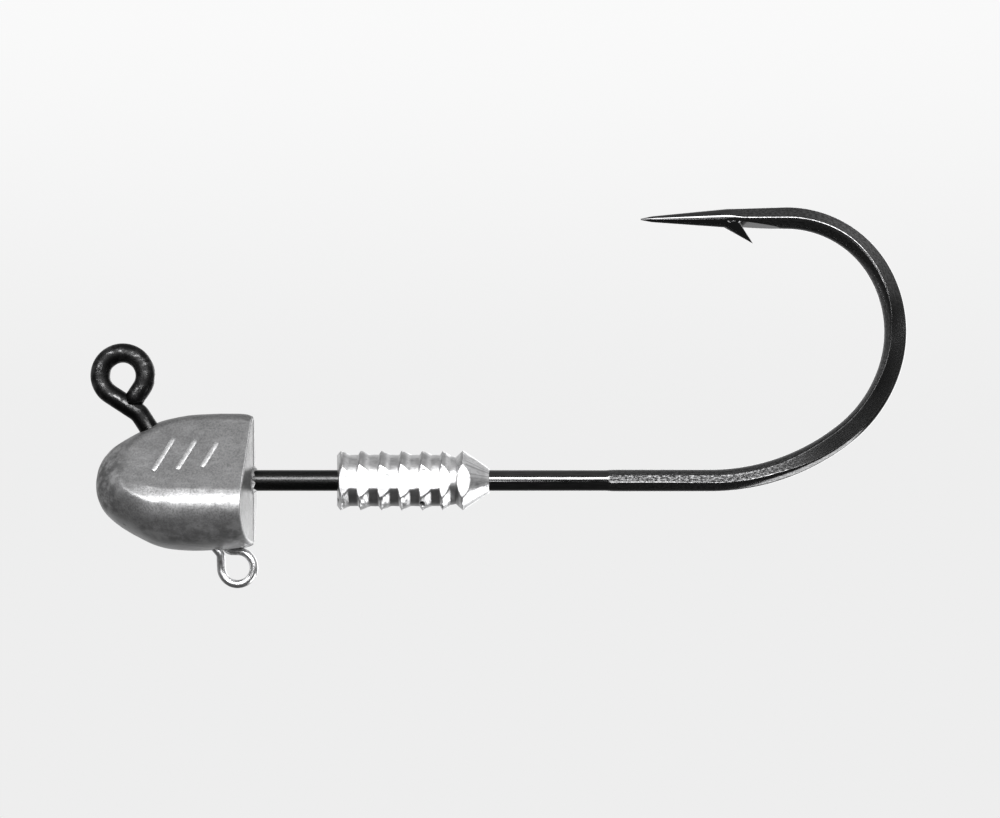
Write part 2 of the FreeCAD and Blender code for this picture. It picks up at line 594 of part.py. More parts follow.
# ---------------------------------------------------------------- the head
def station_section(body, station):
    """One cross-section of the head: round belly, rounded widest point, slanting side, rounded top."""
    sketch = new_sketch(body, station + "_section", "YZ_Plane", "|nose_x| + |%s_back|" % station)
    top = value[station + "_top"]
    belly = value[station + "_belly"]
    corner = value[station + "_corner"]
    crown = value[station + "_crown"]
    ridge = value[station + "_ridge"]
    reach = value[station + "_half"] - corner
    rise = ridge - belly
    round_belly = (reach * reach + rise * rise - corner * corner) / (2 * (rise - corner))
    belly_centre = belly + round_belly
    crown_centre = top - crown
    # directions from the centres to the joints of the outline
    low = math.atan2(ridge - belly_centre, reach)
    span = math.hypot(reach, crown_centre - ridge)
    high = math.atan2(crown_centre - ridge, -reach) - math.acos((corner - crown) / span)
    z_axis = Vector(0, 0, 1)

    def arc(centre_x, centre_y, radius, start, end):
        return Part.ArcOfCircle(Part.Circle(point(centre_x, centre_y), z_axis, radius), start, end)

    def rim(centre_x, centre_y, radius, angle):
        return point(centre_x + radius * math.cos(angle), centre_y + radius * math.sin(angle))

    sketch.addGeometry(arc(0, belly_centre, round_belly, math.pi - low, 2 * math.pi + low), False)
    sketch.addGeometry(arc(reach, ridge, corner, low, high), False)
    sketch.addGeometry(Part.LineSegment(rim(reach, ridge, corner, high), rim(0, crown_centre, crown, high)), False)
    sketch.addGeometry(arc(0, crown_centre, crown, high, math.pi - high), False)
    sketch.addGeometry(Part.LineSegment(rim(0, crown_centre, crown, math.pi - high),
                                        rim(-reach, ridge, corner, math.pi - high)), False)
    sketch.addGeometry(arc(-reach, ridge, corner, math.pi - high, math.pi - low), False)
    joints = [(0, 2, 1, 1), (1, 2, 2, 1), (2, 2, 3, 1), (3, 2, 4, 1), (4, 2, 5, 1), (5, 2, 0, 1)]
    for first, first_end, second, second_end in joints:
        sketch.addConstraint(Sketcher.Constraint("Tangent", first, first_end, second, second_end))
    sketch.addConstraint(Sketcher.Constraint("PointOnObject", 0, 3, -2))
    sketch.addConstraint(Sketcher.Constraint("PointOnObject", 3, 3, -2))
    sketch.addConstraint(Sketcher.Constraint("Symmetric", 5, 3, 1, 3, -2))
    driven(sketch, Sketcher.Constraint("Radius", 1, corner), "|%s_corner|" % station)
    driven(sketch, Sketcher.Constraint("Radius", 3, crown), "|%s_crown|" % station)
    driven(sketch, Sketcher.Constraint("DistanceX", -1, 1, 1, 3, reach),
           "|%s_half| - |%s_corner|" % (station, station))
    driven(sketch, Sketcher.Constraint("DistanceY", -1, 1, 1, 3, ridge), "|%s_ridge|" % station)
    driven(sketch, Sketcher.Constraint("DistanceY", -1, 1, 3, 3, crown_centre),
           "|%s_top| - |%s_crown|" % (station, station))
    text = "((|S_half| - |S_corner|)^2 + (|S_ridge| - |S_belly|)^2 - |S_corner|^2)"
    text += " / (2 * (|S_ridge| - |S_belly| - |S_corner|))"
    driven(sketch, Sketcher.Constraint("Radius", 0, round_belly), text.replace("S_", station + "_"))
    return sketch


def head_body():
    """Lofted bullet with its back face drafted both ways from the parting plane."""
    body = new_body("head_blank")
    sections = [station_section(body, station) for station, numbers in STATIONS]
    doc.recompute()
    loft = body.newObject("PartDesign::AdditiveLoft", "head_loft")
    loft.Profile = sections[0]
    loft.Sections = sections[1:]
    body.Tip = loft
    doc.recompute()
    sketch = new_sketch(body, "draft_outline", "XY_Plane")
    # two triangles behind the drafted halves of the back face, wider than the head
    width = value["draft_width"]
    behind = value["draft_behind"]
    depth = width * math.tan(math.radians(value["back_draft"]))
    depth_text = "-|draft_width| * tan(|back_draft| * 1 deg)"
    for side in (1, -1):
        first = sketch.GeometryCount
        corners = [(0.0, 0.0), (behind, side * width), (-depth, side * width)]
        for index in range(3):
            here = corners[index]
            there = corners[(index + 1) % 3]
            sketch.addGeometry(Part.LineSegment(point(here[0], here[1]), point(there[0], there[1])), False)
        for index in range(3):
            sketch.addConstraint(Sketcher.Constraint("Coincident", first + index, 2, first + (index + 1) % 3, 1))
        sketch.addConstraint(Sketcher.Constraint("Coincident", first, 1, -1, 1))
        driven(sketch, Sketcher.Constraint("DistanceX", -1, 1, first + 1, 1, behind), "|draft_behind|")
        driven(sketch, Sketcher.Constraint("DistanceX", -1, 1, first + 2, 1, -depth), depth_text)
        for corner in (1, 2):
            driven(sketch, Sketcher.Constraint("DistanceY", -1, 1, first + corner, 1, side * width),
                   "%d * |draft_width|" % side)
    doc.recompute()
    draft = body.newObject("PartDesign::Pocket", "back_draft_cut")
    draft.Profile = sketch
    draft.Type = "ThroughAll"
    draft.Midplane = True
    body.Tip = draft
    doc.recompute()
    return body


def gill_bars():
    """Three leaning raised bars on each side of the head, as cast-in decoration."""
    bars = []
    slant = value["side_slant"]
    corner_y = value["st_j_half"] - value["st_j_corner"] * (1 - math.cos(math.radians(slant)))
    corner_z = value["st_j_ridge"] + value["st_j_corner"] * math.sin(math.radians(slant))
    depth = value["mark_depth"]
    for side in (1, -1):
        for index in range(3):
            length = value["mark_length"] - index * value["mark_step"]
            bar = doc.addObject("Part::Box", "gill_bar")
            bind(bar, "Width", "|mark_depth|")
            bind(bar, "Length", "|mark_width|")
            bind(bar, "Height", "|mark_length| - %d * |mark_step|" % index)
            x = value["mark_first_x"] + index * value["mark_spacing"]
            y = corner_y - (value["mark_z"] - corner_z) * math.tan(math.radians(slant))
            lean = Rotation(Vector(0, 1, 0), value["mark_lean"])
            tip_in = Rotation(Vector(1, 0, 0), side * slant)
            turned = tip_in.multiply(lean)
            outward = value["mark_height"] - depth if side > 0 else -value["mark_height"]
            middle = turned.multVec(Vector(-value["mark_width"] / 2, outward, -length / 2))
            bar.Placement = Placement(Vector(x, side * y, value["mark_z"]) + middle, turned)
            bars.append(bar)
    return bars


def make_head(hook, eyelet):
    """Lead casting, poured round the hook wire and the eyelet legs."""
    blank = head_body()
    marked = doc.addObject("Part::MultiFuse", "marked_head")
    marked.Shapes = [blank] + gill_bars()
    around_hook = boolean("Cut", "head_round_hook", marked, hook)
    head = boolean("Cut", "lead_head", around_hook, eyelet)
    head.Label = "lead_head"
    return head


# ---------------------------------------------------------------- the bait keeper
def make_keeper():
    """Cast collar with a row of teeth that hold the bait, flat on both sides."""
    body = new_body("bait_keeper")
    sketch = new_sketch(body, "keeper_outline", "XZ_Plane")
    bore = value["wire_diameter"] / 2
    crest_radius = value["keeper_crest_radius"]
    valley_radius = value["keeper_valley_radius"]
    teeth = 6
    corners = [
        (value["keeper_start"], bore, "|keeper_start|", "|wire_diameter| / 2"),
        (value["keeper_start"], value["keeper_rim_radius"], "|keeper_start|", "|keeper_rim_radius|"),
    ]
    for index in range(teeth):
        crest = value["keeper_first_crest"] + index * value["keeper_tooth_pitch"]
        crest_text = "|keeper_first_crest| + %d * |keeper_tooth_pitch|" % index
        if index > 0:
            corners.append((crest - value["keeper_steep"], valley_radius,
                            crest_text + " - |keeper_steep|", "|keeper_valley_radius|"))
        corners.append((crest, crest_radius, crest_text, "|keeper_crest_radius|"))
        if index < teeth - 1:
            corners.append((crest + value["keeper_slope"], valley_radius,
                            crest_text + " + |keeper_slope|", "|keeper_valley_radius|"))
    corners += [
        (value["keeper_neck_x"], value["keeper_neck_radius"], "|keeper_neck_x|", "|keeper_neck_radius|"),
        (value["keeper_cone_start"], crest_radius, "|keeper_cone_start|", "|keeper_crest_radius|"),
        (value["keeper_end"], value["keeper_end_radius"], "|keeper_end|", "|keeper_end_radius|"),
        (value["keeper_end"], bore, "|keeper_end|", "|wire_diameter| / 2"),
    ]
    closed_outline(sketch, corners)
    doc.recompute()
    turned = body.newObject("PartDesign::Revolution", "keeper_turned")
    turned.Profile = sketch
    turned.ReferenceAxis = (sketch, ["H_Axis"])
    turned.Angle = 360
    body.Tip = turned
    doc.recompute()
    sketch = new_sketch(body, "keeper_flats", "XY_Plane")
    # the cut runs past both ends and past the teeth
    start = value["keeper_start"] - 1
    end = value["keeper_end"] + 1
    for side in (1, -1):
        first = sketch.GeometryCount
        near = side * value["keeper_flat"]
        far = 2 * near
        corners = [(start, near), (end, near), (end, far), (start, far)]
        for index in range(4):
            here = corners[index]
            there = corners[(index + 1) % 4]
            sketch.addGeometry(Part.LineSegment(point(here[0], here[1]), point(there[0], there[1])), False)
        for index in range(4):
            sketch.addConstraint(Sketcher.Constraint("Coincident", first + index, 2, first + (index + 1) % 4, 1))
        sketch.addConstraint(Sketcher.Constraint("Horizontal", first))
        sketch.addConstraint(Sketcher.Constraint("Vertical", first + 1))
        sketch.addConstraint(Sketcher.Constraint("Horizontal", first + 2))
        sketch.addConstraint(Sketcher.Constraint("Vertical", first + 3))
        driven(sketch, Sketcher.Constraint("DistanceX", -1, 1, first, 1, start), "|keeper_start| - 1")
        driven(sketch, Sketcher.Constraint("DistanceX", -1, 1, first, 2, end), "|keeper_end| + 1")
        driven(sketch, Sketcher.Constraint("DistanceY", -1, 1, first, 1, near), "%d * |keeper_flat|" % side)
        driven(sketch, Sketcher.Constraint("DistanceY", -1, 1, first + 2, 1, far),
               "%d * |keeper_flat|" % (2 * side))
    doc.recompute()
    flats = body.newObject("PartDesign::Pocket", "keeper_side_flats")
    flats.Profile = sketch
    flats.Type = "ThroughAll"
    flats.Midplane = True
    body.Tip = flats
    doc.recompute()
    body.Label = "bait_keeper"
    return body


# ---------------------------------------------------------------- build, check and write
hook = make_hook()
eyelet = make_eyelet()
head = make_head(hook, eyelet)
keeper = make_keeper()
doc.recompute()

for thing in doc.Objects:
    if "Invalid" in thing.State or "Error" in thing.State:
        raise RuntimeError("%s failed: %s" % (thing.Name, thing.State))

for node in (hook, head, keeper, eyelet):
    shape = node.Shape
    if shape.isNull() or not shape.isValid():
        raise RuntimeError("%s has no valid shape" % node.Label)
    if len(shape.Solids) != 1:
        raise RuntimeError("%s has %d solids" % (node.Label, len(shape.Solids)))
    box = shape.BoundBox
    print("%-14s volume %8.2f mm3  x %7.2f..%7.2f  y %6.2f..%6.2f  z %7.2f..%7.2f" % (
        node.Label, shape.Volume, box.XMin, box.XMax, box.YMin, box.YMax, box.ZMin, box.ZMax))
    shape.exportStep("parts/%s.step" % node.Label)
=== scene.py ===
"""Looks of the jig head: a forged hook, a cast lead head, a cast bait keeper and a belly eyelet.

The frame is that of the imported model: +X runs along the shank towards the bend, +Z points to the side of the
hook point, and the camera looks along +Y. Shapes are worked out in millimetres and made in metres.
"""
from math import acos, atan, atan2, ceil, copysign, cos, exp, hypot, log1p, pi, radians, sin, sqrt, tan

import bpy
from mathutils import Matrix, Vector, noise


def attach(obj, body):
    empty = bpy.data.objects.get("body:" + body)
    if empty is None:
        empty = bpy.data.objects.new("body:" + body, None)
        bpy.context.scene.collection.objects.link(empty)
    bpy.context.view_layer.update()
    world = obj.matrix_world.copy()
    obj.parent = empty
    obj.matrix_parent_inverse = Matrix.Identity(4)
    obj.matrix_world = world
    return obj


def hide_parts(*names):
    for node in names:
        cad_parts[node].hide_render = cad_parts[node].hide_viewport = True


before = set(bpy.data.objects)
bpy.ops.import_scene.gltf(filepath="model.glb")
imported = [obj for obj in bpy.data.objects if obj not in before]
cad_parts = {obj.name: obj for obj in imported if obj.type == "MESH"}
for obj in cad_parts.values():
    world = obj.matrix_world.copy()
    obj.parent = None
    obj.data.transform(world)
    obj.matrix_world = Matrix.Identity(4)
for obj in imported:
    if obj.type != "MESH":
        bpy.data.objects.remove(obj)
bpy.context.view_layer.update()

MM = 0.001
SOFT_LIMIT = 30.0  # past this many roundings, a rounded corner no longer changes anything


# ---------------------------------------------------------------- mesh helpers
def add_object(name, data):
    """A new object in the scene."""
    added = bpy.data.objects.new(name, data)
    bpy.context.scene.collection.objects.link(added)
    return added


def add_mesh(name, points, faces, material):
    """A smooth-shaded object from points in metres."""
    mesh = bpy.data.meshes.new(name)
    mesh.from_pydata(points, [], faces)
    mesh.validate()
    mesh.update()
    mesh.polygons.foreach_set("use_smooth", [True] * len(mesh.polygons))
    mesh.materials.append(material)
    return add_object(name, mesh)


def make_piece(name, points, faces, node, material):
    """A piece of the object from points in millimetres; it replaces one node of the CAD model."""
    piece = add_mesh(name, [(x * MM, y * MM, z * MM) for x, y, z in points], faces, material)
    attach(piece, "root")
    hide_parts(node)
    return piece


def tube_faces(rings, around, first=0, close_start=True, close_end=True):
    """Quads between rings of points that follow each other, and a fan of one polygon at each closed end."""
    faces = []
    for ring in range(rings - 1):
        low = first + ring * around
        for index in range(around):
            after = (index + 1) % around
            faces.append((low + index, low + around + index, low + around + after, low + after))
    if close_start:
        faces.append(tuple(first + index for index in range(around)))
    if close_end:
        last = first + (rings - 1) * around
        faces.append(tuple(last + around - 1 - index for index in range(around)))
    return faces


def smooth_step(value, low, high):
    """0 below low, 1 above high, smooth between."""
    share = min(1.0, max(0.0, (value - low) / (high - low)))
    return share * share * (3.0 - 2.0 * share)


def mix(first, second, share):
    """The number at a share of the way from the first to the second."""
    return first + (second - first) * share


def soft_excess(excess, soft):
    """How far a number goes past 0, with the corner there rounded over about the length soft."""
    if excess > SOFT_LIMIT * soft:
        return excess
    return soft * log1p(exp(excess / soft))


def rough(x, y, z):
    """Smooth noise between -1 and 1 at a place."""
    return noise.noise(Vector((x, y, z)))


class Path:
    """A centre line in the plane of the hook, made of straight runs and arcs; lengths in millimetres."""

    def __init__(self, x, z, heading, step):
        self.x, self.z, self.heading, self.step = x, z, heading, step
        self.length = 0.0
        self.stops = [(x, z, heading, 0.0)]

    def keep(self):
        """Adds the present place to the stops: x, z, heading and length so far."""
        self.stops.append((self.x, self.z, self.heading, self.length))

    def line(self, length):
        count = max(1, ceil(length / self.step))
        for index in range(count):
            self.x += length / count * cos(self.heading)
            self.z += length / count * sin(self.heading)
            self.length += length / count
            self.keep()
        return self

    def arc(self, radius, turn):
        """A positive turn goes left, towards +Z when it runs along +X."""
        side = 1 if turn > 0 else -1
        middle_x = self.x - side * radius * sin(self.heading)
        middle_z = self.z + side * radius * cos(self.heading)
        count = max(2, ceil(abs(turn) * radius / self.step))
        start = self.heading
        for index in range(1, count + 1):
            self.heading = start + turn * index / count
            self.x = middle_x + side * radius * sin(self.heading)
            self.z = middle_z - side * radius * cos(self.heading)
            self.length += abs(turn) * radius / count
            self.keep()
        return self


def sweep(stops, around, section):
    """Rings of points along a path.

    section(run, x, angle) gives how far a point of the ring lies across (along Y) and to the path's left.
    """
    points = []
    for x, z, heading, run in stops:
        left_x, left_z = -sin(heading), cos(heading)
        for index in range(around):
            across, left = section(run, x, 2 * pi * index / around)
            points.append((x + left * left_x, across, z + left * left_z))
    return points


def lay_out(piece, name, around, lengths, girth):
    """A map whose first number runs along the wire and whose second runs round it, in millimetres."""
    layer = piece.data.uv_layers.new(name=name)
    count = around * len(lengths)
    for face in piece.data.polygons:
        wraps = [piece.data.loops[loop].vertex_index % around for loop in face.loop_indices]
        # a face that closes the ring takes its first point as one round further on
        crosses = max(wraps) - min(wraps) > around / 2
        for loop, wrap in zip(face.loop_indices, wraps):
            vertex = piece.data.loops[loop].vertex_index
            if vertex >= count:
                # a part that isn't in the rings, such as the barb
                layer.data[loop].uv = (0.0, 0.0)
                continue
            if crosses and wrap < around / 2:
                wrap += around
            layer.data[loop].uv = (lengths[vertex // around], wrap / around * girth)


def put_mask(piece, name, numbers):
    """One number per vertex that the material reads."""
    layer = piece.data.attributes.new(name, "FLOAT", "POINT")
    layer.data.foreach_set("value", numbers)


# ---------------------------------------------------------------- the hook
WIRE = 1.08  # radius of the drawn wire
NECK = 1.00  # and of the eye and neck
GRIP = WIRE * 0.97  # the castings reach this far in, so that no gap shows round the wire
EYE_RADIUS = 2.33  # of the eye's centre line
EYE_CENTRE = (-13.51, 10.85)
EYE_JOIN = radians(33.0)  # slope of the wire beside the eye
EYE_SEAT = 1.05  # from the neck's centre line to the cut end that sits on it
NECK_SLOPE = radians(57.4)
NECK_BEND_X = -5.71
NECK_BEND = 3.0
NECK_SHOULDER = 2.2
NECK_SWELL = 2.0  # length over which the neck grows to the wire
DARK_NECK_X = (-9.0, -4.0)  # the neck's dull skin ends here, inside the head
FORGE_X = 36.55  # where the press starts to flatten the wire
FORGED = 1.137  # its radius from there on
FORGE_START = 0.25
FORGE_SWELL = (-0.25, 0.9)
# share of the bend from shank to point arm, where the flat faces, half its span (degrees round the wire)
FLATS = ((0.00, 10.0, 20.0), (0.12, 9.0, 22.0), (0.30, 5.0, 40.0), (0.42, 3.0, 44.0), (0.58, -8.0, 43.0),
         (0.70, -22.0, 37.0), (0.88, -34.0, 33.0), (1.00, -34.0, 33.0))
FLAT_ROUND = 0.014  # rounding of the flat's edges
FLAT_END = (-0.6, 1.6)  # where the flat fades out, counted from the base of the needle
PRESSED_SHARE = (0.45, 0.75)  # share of the bend over which the press's matt skin fades
DIMPLED_SHARE = (0.08, 0.27)  # and its dimples
DIMPLES_LOST = 0.9
# the flat's outer edge is polished, in a strip that narrows where the bend starts
POLISHED_EDGE = radians(7.0)
POLISHED_LOST = 0.8
POLISHED_X = (43.0, 46.5)
POLISHED_SHARE = (0.04, 0.12)
BEND_X = 47.2
BENDS = ((22.5, radians(38.3)), (13.9, radians(36.2)))
THIRD_BEND = 12.45
ARM_ROOT = (55.1, 27.12)
POINT_X = 50.2
POINT_DROOP = radians(0.7)
NEEDLE = ((0.0, 0.985), (1.2, 0.985), (9.0, 0.31), (10.15, 0.07))  # distance from the base, radius
TIP_ROUND = 0.05
SLICE_POINT = (50.1, 26.42)
SLICE_PITCH = radians(6.5)
SLICE_ROLL = radians(20.0)
SLICE_REACH = 3.0  # how far round the bend the cutter may have touched
SLICE_EDGE = (-0.01, 0.02)
HOOK_STEP = 0.155
HOOK_AROUND = 108


def neck_runs():
    """Lengths of the neck's two straight runs: beside the eye, and down into the head."""
    end_x = EYE_CENTRE[0] - EYE_RADIUS * sin(EYE_JOIN)
    end_z = EYE_CENTRE[1] - EYE_RADIUS * cos(EYE_JOIN)
    low_x = NECK_BEND_X - NECK_BEND * sin(NECK_SLOPE)
    low_z = NECK_BEND * (1 - cos(NECK_SLOPE))
    across, up = end_x - low_x, end_z - low_z
    steep = (-cos(NECK_SLOPE), sin(NECK_SLOPE))
    slow = (-cos(EYE_JOIN), sin(EYE_JOIN))
    cross = steep[0] * slow[1] - steep[1] * slow[0]
    steep_run = (across * slow[1] - up * slow[0]) / cross
    slow_run = (steep[0] * up - steep[1] * across) / cross
    setback = NECK_SHOULDER * tan((NECK_SLOPE - EYE_JOIN) / 2)
    return slow_run - setback, steep_run - setback


def hook_path():
    """From the cut end of the eye, round the eye, down the neck, along the shank and round to the point."""
    up_x, up_z = sin(EYE_JOIN), cos(EYE_JOIN)
    drop = EYE_RADIUS - EYE_SEAT
    start_x = EYE_CENTRE[0] + EYE_RADIUS * cos(EYE_JOIN) - drop * up_x
    start_z = EYE_CENTRE[1] - EYE_RADIUS * sin(EYE_JOIN) - drop * up_z
    path = Path(start_x, start_z, pi / 2 - EYE_JOIN, HOOK_STEP)
    slow_run, steep_run = neck_runs()
    path.line(drop).arc(EYE_RADIUS, 1.5 * pi).line(slow_run)
    path.arc(NECK_SHOULDER, EYE_JOIN - NECK_SLOPE).line(steep_run).arc(NECK_BEND, NECK_SLOPE)
    path.line(BEND_X - NECK_BEND_X)
    shank_end = path.length
    for radius, turn in BENDS:
        path.arc(radius, turn)
    # the last two arcs close the bend at the arm's root, where the wire runs straight back
    middle_x = path.x - THIRD_BEND * sin(path.heading)
    middle_z = path.z + THIRD_BEND * cos(path.heading)
    across = middle_x - ARM_ROOT[0]
    rise = ARM_ROOT[1] - THIRD_BEND - middle_z
    turned = 2 * atan(across / rise)
    last_radius = THIRD_BEND + rise / (1 + cos(turned))
    full_turn = 2 * pi * round(path.heading / (2 * pi))
    path.arc(THIRD_BEND, turned + full_turn - path.heading)
    path.arc(last_radius, pi + full_turn - path.heading)
    path.line(ARM_ROOT[0] - POINT_X)
    base = path.length
    path.heading += POINT_DROOP
    path.line(NEEDLE[-1][0] - TIP_ROUND)
    path.line(TIP_ROUND)
    return path, shank_end, base


def needle_radius(run):
    """Radius of the point at a distance from its base."""
    for (low, wide), (high, narrow) in zip(NEEDLE, NEEDLE[1:]):
        if run <= high:
            return mix(wide, narrow, (run - low) / (high - low))
    return NEEDLE[-1][1]


def slice_height(x, across):
    """Height of the facet that the barb's cut left on the arm."""
    normal_x = cos(SLICE_ROLL) * sin(SLICE_PITCH)
    normal_y = sin(SLICE_ROLL)
    normal_z = cos(SLICE_ROLL) * cos(SLICE_PITCH)
    return SLICE_POINT[1] - (normal_x * (x - SLICE_POINT[0]) + normal_y * across) / normal_z


def flat_at(share):
    """Where the flat faces and half its span, as angles round the wire; positive is the bend's inside."""
    face, span = FLATS[-1][1:]
    for (low, low_face, low_span), (high, high_face, high_span) in zip(FLATS, FLATS[1:]):
        if low <= share < high:
            part = smooth_step(share, low, high)
            face, span = mix(low_face, high_face, part), mix(low_span, high_span, part)
    return radians(face), radians(span)


def pressed_skin(x, share, turned, span):
    """1 on the matt skin that the press left; turned is the angle round the wire from the flat's middle."""
    narrowed = POLISHED_LOST * smooth_step(x, *POLISHED_X) * (1.0 - smooth_step(share, *POLISHED_SHARE))
    strip = POLISHED_EDGE * (1.0 - narrowed)
    outer_edge = smooth_step(turned, -span + strip / 2, -span + strip)
    inner_edge = 1.0 - smooth_step(turned, span + POLISHED_EDGE / 2, span + POLISHED_EDGE)
    return outer_edge * inner_edge * (1.0 - smooth_step(share, *PRESSED_SHARE))


def seat_cut_end(points):
    """Shapes the cut end of the eye, the first ring, to sit on the neck."""
    up_x, up_z = sin(EYE_JOIN), cos(EYE_JOIN)
    for index in range(HOOK_AROUND):
        x, y, z = points[index]
        drop = EYE_SEAT - sqrt(EYE_SEAT * EYE_SEAT - y * y)
        points[index] = (x - drop * up_x, y, z - drop * up_z)


def make_hook(material):
    """The wire with its forged flat, its facet and its barb, and the masks that its material reads."""
    path, shank_end, base = hook_path()
    root = base - (ARM_ROOT[0] - POINT_X)
    marks = {"forged": [], "dimpled": [], "worked": [], "neck": [], "cut": []}

    def wire_radius(run, x):
        if run > base:
            return needle_radius(run - base)
        if run > root:
            return mix(FORGED, NEEDLE[0][1], (run - root) / (base - root))
        if run < shank_end:
            thin = mix(NECK, WIRE, smooth_step(x, NECK_BEND_X - NECK_SWELL, NECK_BEND_X))
            return mix(thin, FORGED, smooth_step(x, FORGE_X + FORGE_SWELL[0], FORGE_X + FORGE_SWELL[1]))
        return FORGED

    def section(run, x, angle):
        radius = wire_radius(run, x)
        across, left = radius * cos(angle), radius * sin(angle)
        amount = smooth_step(x, FORGE_X, FORGE_X + FORGE_START) if run < shank_end else 1.0
        amount *= 1.0 - smooth_step(run, base + FLAT_END[0], base + FLAT_END[1])
        pressed = 0.0
        share = max(0.0, (run - shank_end) / (root - shank_end))
        if amount > 0:
            face, span = flat_at(share)
            reach = radius * mix(1.0, cos(span), amount)
            excess = abs(across) * cos(face) + left * sin(face) - reach
            press = soft_excess(excess, FLAT_ROUND)
            pressed = amount * pressed_skin(x, share, atan2(left, abs(across)) - face, span)
            across -= copysign(press * cos(face), across)
            left -= press * sin(face)
        marks["forged"].append(pressed)
        marks["dimpled"].append(pressed * (1.0 - DIMPLES_LOST * smooth_step(share, *DIMPLED_SHARE)))
        marks["worked"].append(amount)
        marks["cut"].append(0.0)
        marks["neck"].append(1.0 - smooth_step(x, *DARK_NECK_X) if run < shank_end else 0.0)
        return across, left

    points = sweep(path.stops, HOOK_AROUND, section)
    seat_cut_end(points)
    # the facet that the barb was raised from
    for index, (x, y, z) in enumerate(points):
        in_arm = path.stops[index // HOOK_AROUND][3] > root - SLICE_REACH
        if in_arm and x > SLICE_POINT[0]:
            height = slice_height(x, y)
            marks["cut"][index] = smooth_step(height - z, *SLICE_EDGE)
            points[index] = (x, y, max(z, height))
    faces = tube_faces(len(path.stops), HOOK_AROUND)
    barb_points, barb_faces = barb_shape(len(points))
    points += barb_points
    faces += barb_faces
    hook = make_piece("hook_wire", points, faces, "hook", material)
    lay_out(hook, "run", HOOK_AROUND, [stop[3] for stop in path.stops], 2 * pi * WIRE)
    for name, numbers in marks.items():
        put_mask(hook, name, numbers + [0.0] * len(barb_points))


BARB_TIP = (51.64, 24.50)
BARB_FRONT = (48.75, 26.10)
BARB_BACK = (50.12, 26.85)
BARB_BURIED = -0.3  # the sliver starts this share of its length inside the arm
BARB_TIP_WIDTH = 0.05
BARB_WIDENING = 0.2875
BARB_WIDEST = 0.93
BARB_FLATNESS = 0.25  # power that squares off its back
BARB_SLOPE = radians(41.8)
BARB_RINGS = 30
BARB_AROUND = 28


def barb_shape(first):
    """The raised sliver: round at the front like the wire it was cut from, flat where the cutter ran."""
    points = []
    for ring in range(BARB_RINGS):
        share = mix(BARB_BURIED, 1.0, ring / (BARB_RINGS - 1))
        front_x, front_z = [mix(root, tip, share) for root, tip in zip(BARB_FRONT, BARB_TIP)]
        back_x, back_z = [mix(root, tip, share) for root, tip in zip(BARB_BACK, BARB_TIP)]
        middle_x, middle_z = (front_x + back_x) / 2, (front_z + back_z) / 2
        run = (BARB_TIP[0] - middle_x) * cos(BARB_SLOPE)
        run += (middle_z - BARB_TIP[1]) * sin(BARB_SLOPE)
        width = min(BARB_WIDEST, BARB_TIP_WIDTH + BARB_WIDENING * max(0.0, run))
        for index in range(BARB_AROUND):
            angle = 2 * pi * index / BARB_AROUND
            depth = cos(angle)
            reach = abs(depth) if depth > 0 else abs(depth) ** BARB_FLATNESS
            backward = 0.5 - 0.5 * copysign(reach, depth)
            points.append((mix(front_x, back_x, backward), sin(angle) * width,
                           mix(front_z, back_z, backward)))
    return points, tube_faces(BARB_RINGS, BARB_AROUND, first)


# ---------------------------------------------------------------- the head
# distance behind the nose, top, belly, half width, height of the widest point, its rounding, top rounding
HEAD_STATIONS = (
    (0.00, 0.28, -1.12, 0.62, -0.43, 0.46, 0.40),
    (0.12, 1.02, -1.76, 1.30, -0.43, 1.12, 1.00),
    (0.35, 1.68, -2.40, 1.95, -0.44, 1.70, 1.52),
    (0.80, 2.45, -3.22, 2.72, -0.50, 2.20, 2.05),
    (1.55, 3.26, -4.02, 3.52, -0.66, 2.60, 2.45),
    (2.70, 4.04, -4.92, 4.28, -0.92, 2.85, 2.75),
    (4.30, 4.94, -5.84, 4.95, -1.32, 2.88, 2.70),
    (6.50, 6.02, -6.82, 5.47, -1.82, 2.72, 1.75),
    (9.40, 6.66, -7.18, 5.68, -2.14, 2.54, 1.13),
    (12.80, 6.83, -7.11, 5.72, -2.24, 2.50, 1.06),
    (15.20, 6.79, -6.88, 5.70, -2.24, 2.50, 1.04),
    (16.08, 6.50, -6.58, 5.64, -2.24, 2.48, 1.02),
)
NOSE_X = -16.08
HEAD_MIDDLE_Z = -0.4  # the skin's unevenness moves points towards or away from this height
RIM_ROUND = 0.16  # rounding of the edge between side and back face
BACK_DRAFT = tan(radians(5.3))
BACK_DRAFT_X = (-4.0, 0.0)  # the sides lean with the back face from here on
FACET_SLOPE = radians(31.0)
FACET_REACH = 3.95
FACET_X = -7.0
FACET_TAPER = 0.033
FACET_RISE = 0.5  # behind FACET_X it moves out by this, and the blank's own flat side takes over
FACET_RISE_RUN = 3.0
FACET_ROUND = (0.012, 0.12)  # rounding of its edge at the nose and at FACET_X
FACET_ROUND_FROM = 2.5
# a painted highlight brightens the widest part of the side in a band: its upper edge, which rises towards the
# nose, the length of that edge's fade, the band's depth, where it starts to fade below, and how far it is
# patchy
RIDGE_EDGE = -0.50
RIDGE_RISE = 0.45
RIDGE_RISE_LEAD = 2.0
RIDGE_SHARP = 0.25
RIDGE_DEPTH = 3.8
RIDGE_FULL = 1.3
RIDGE_FADE = (9.4, 12.0)  # distance from the back face over which it ends
RIDGE_PATCHES = (0.74, 0.6)
RIDGE_PATCH_SCALE = 0.9
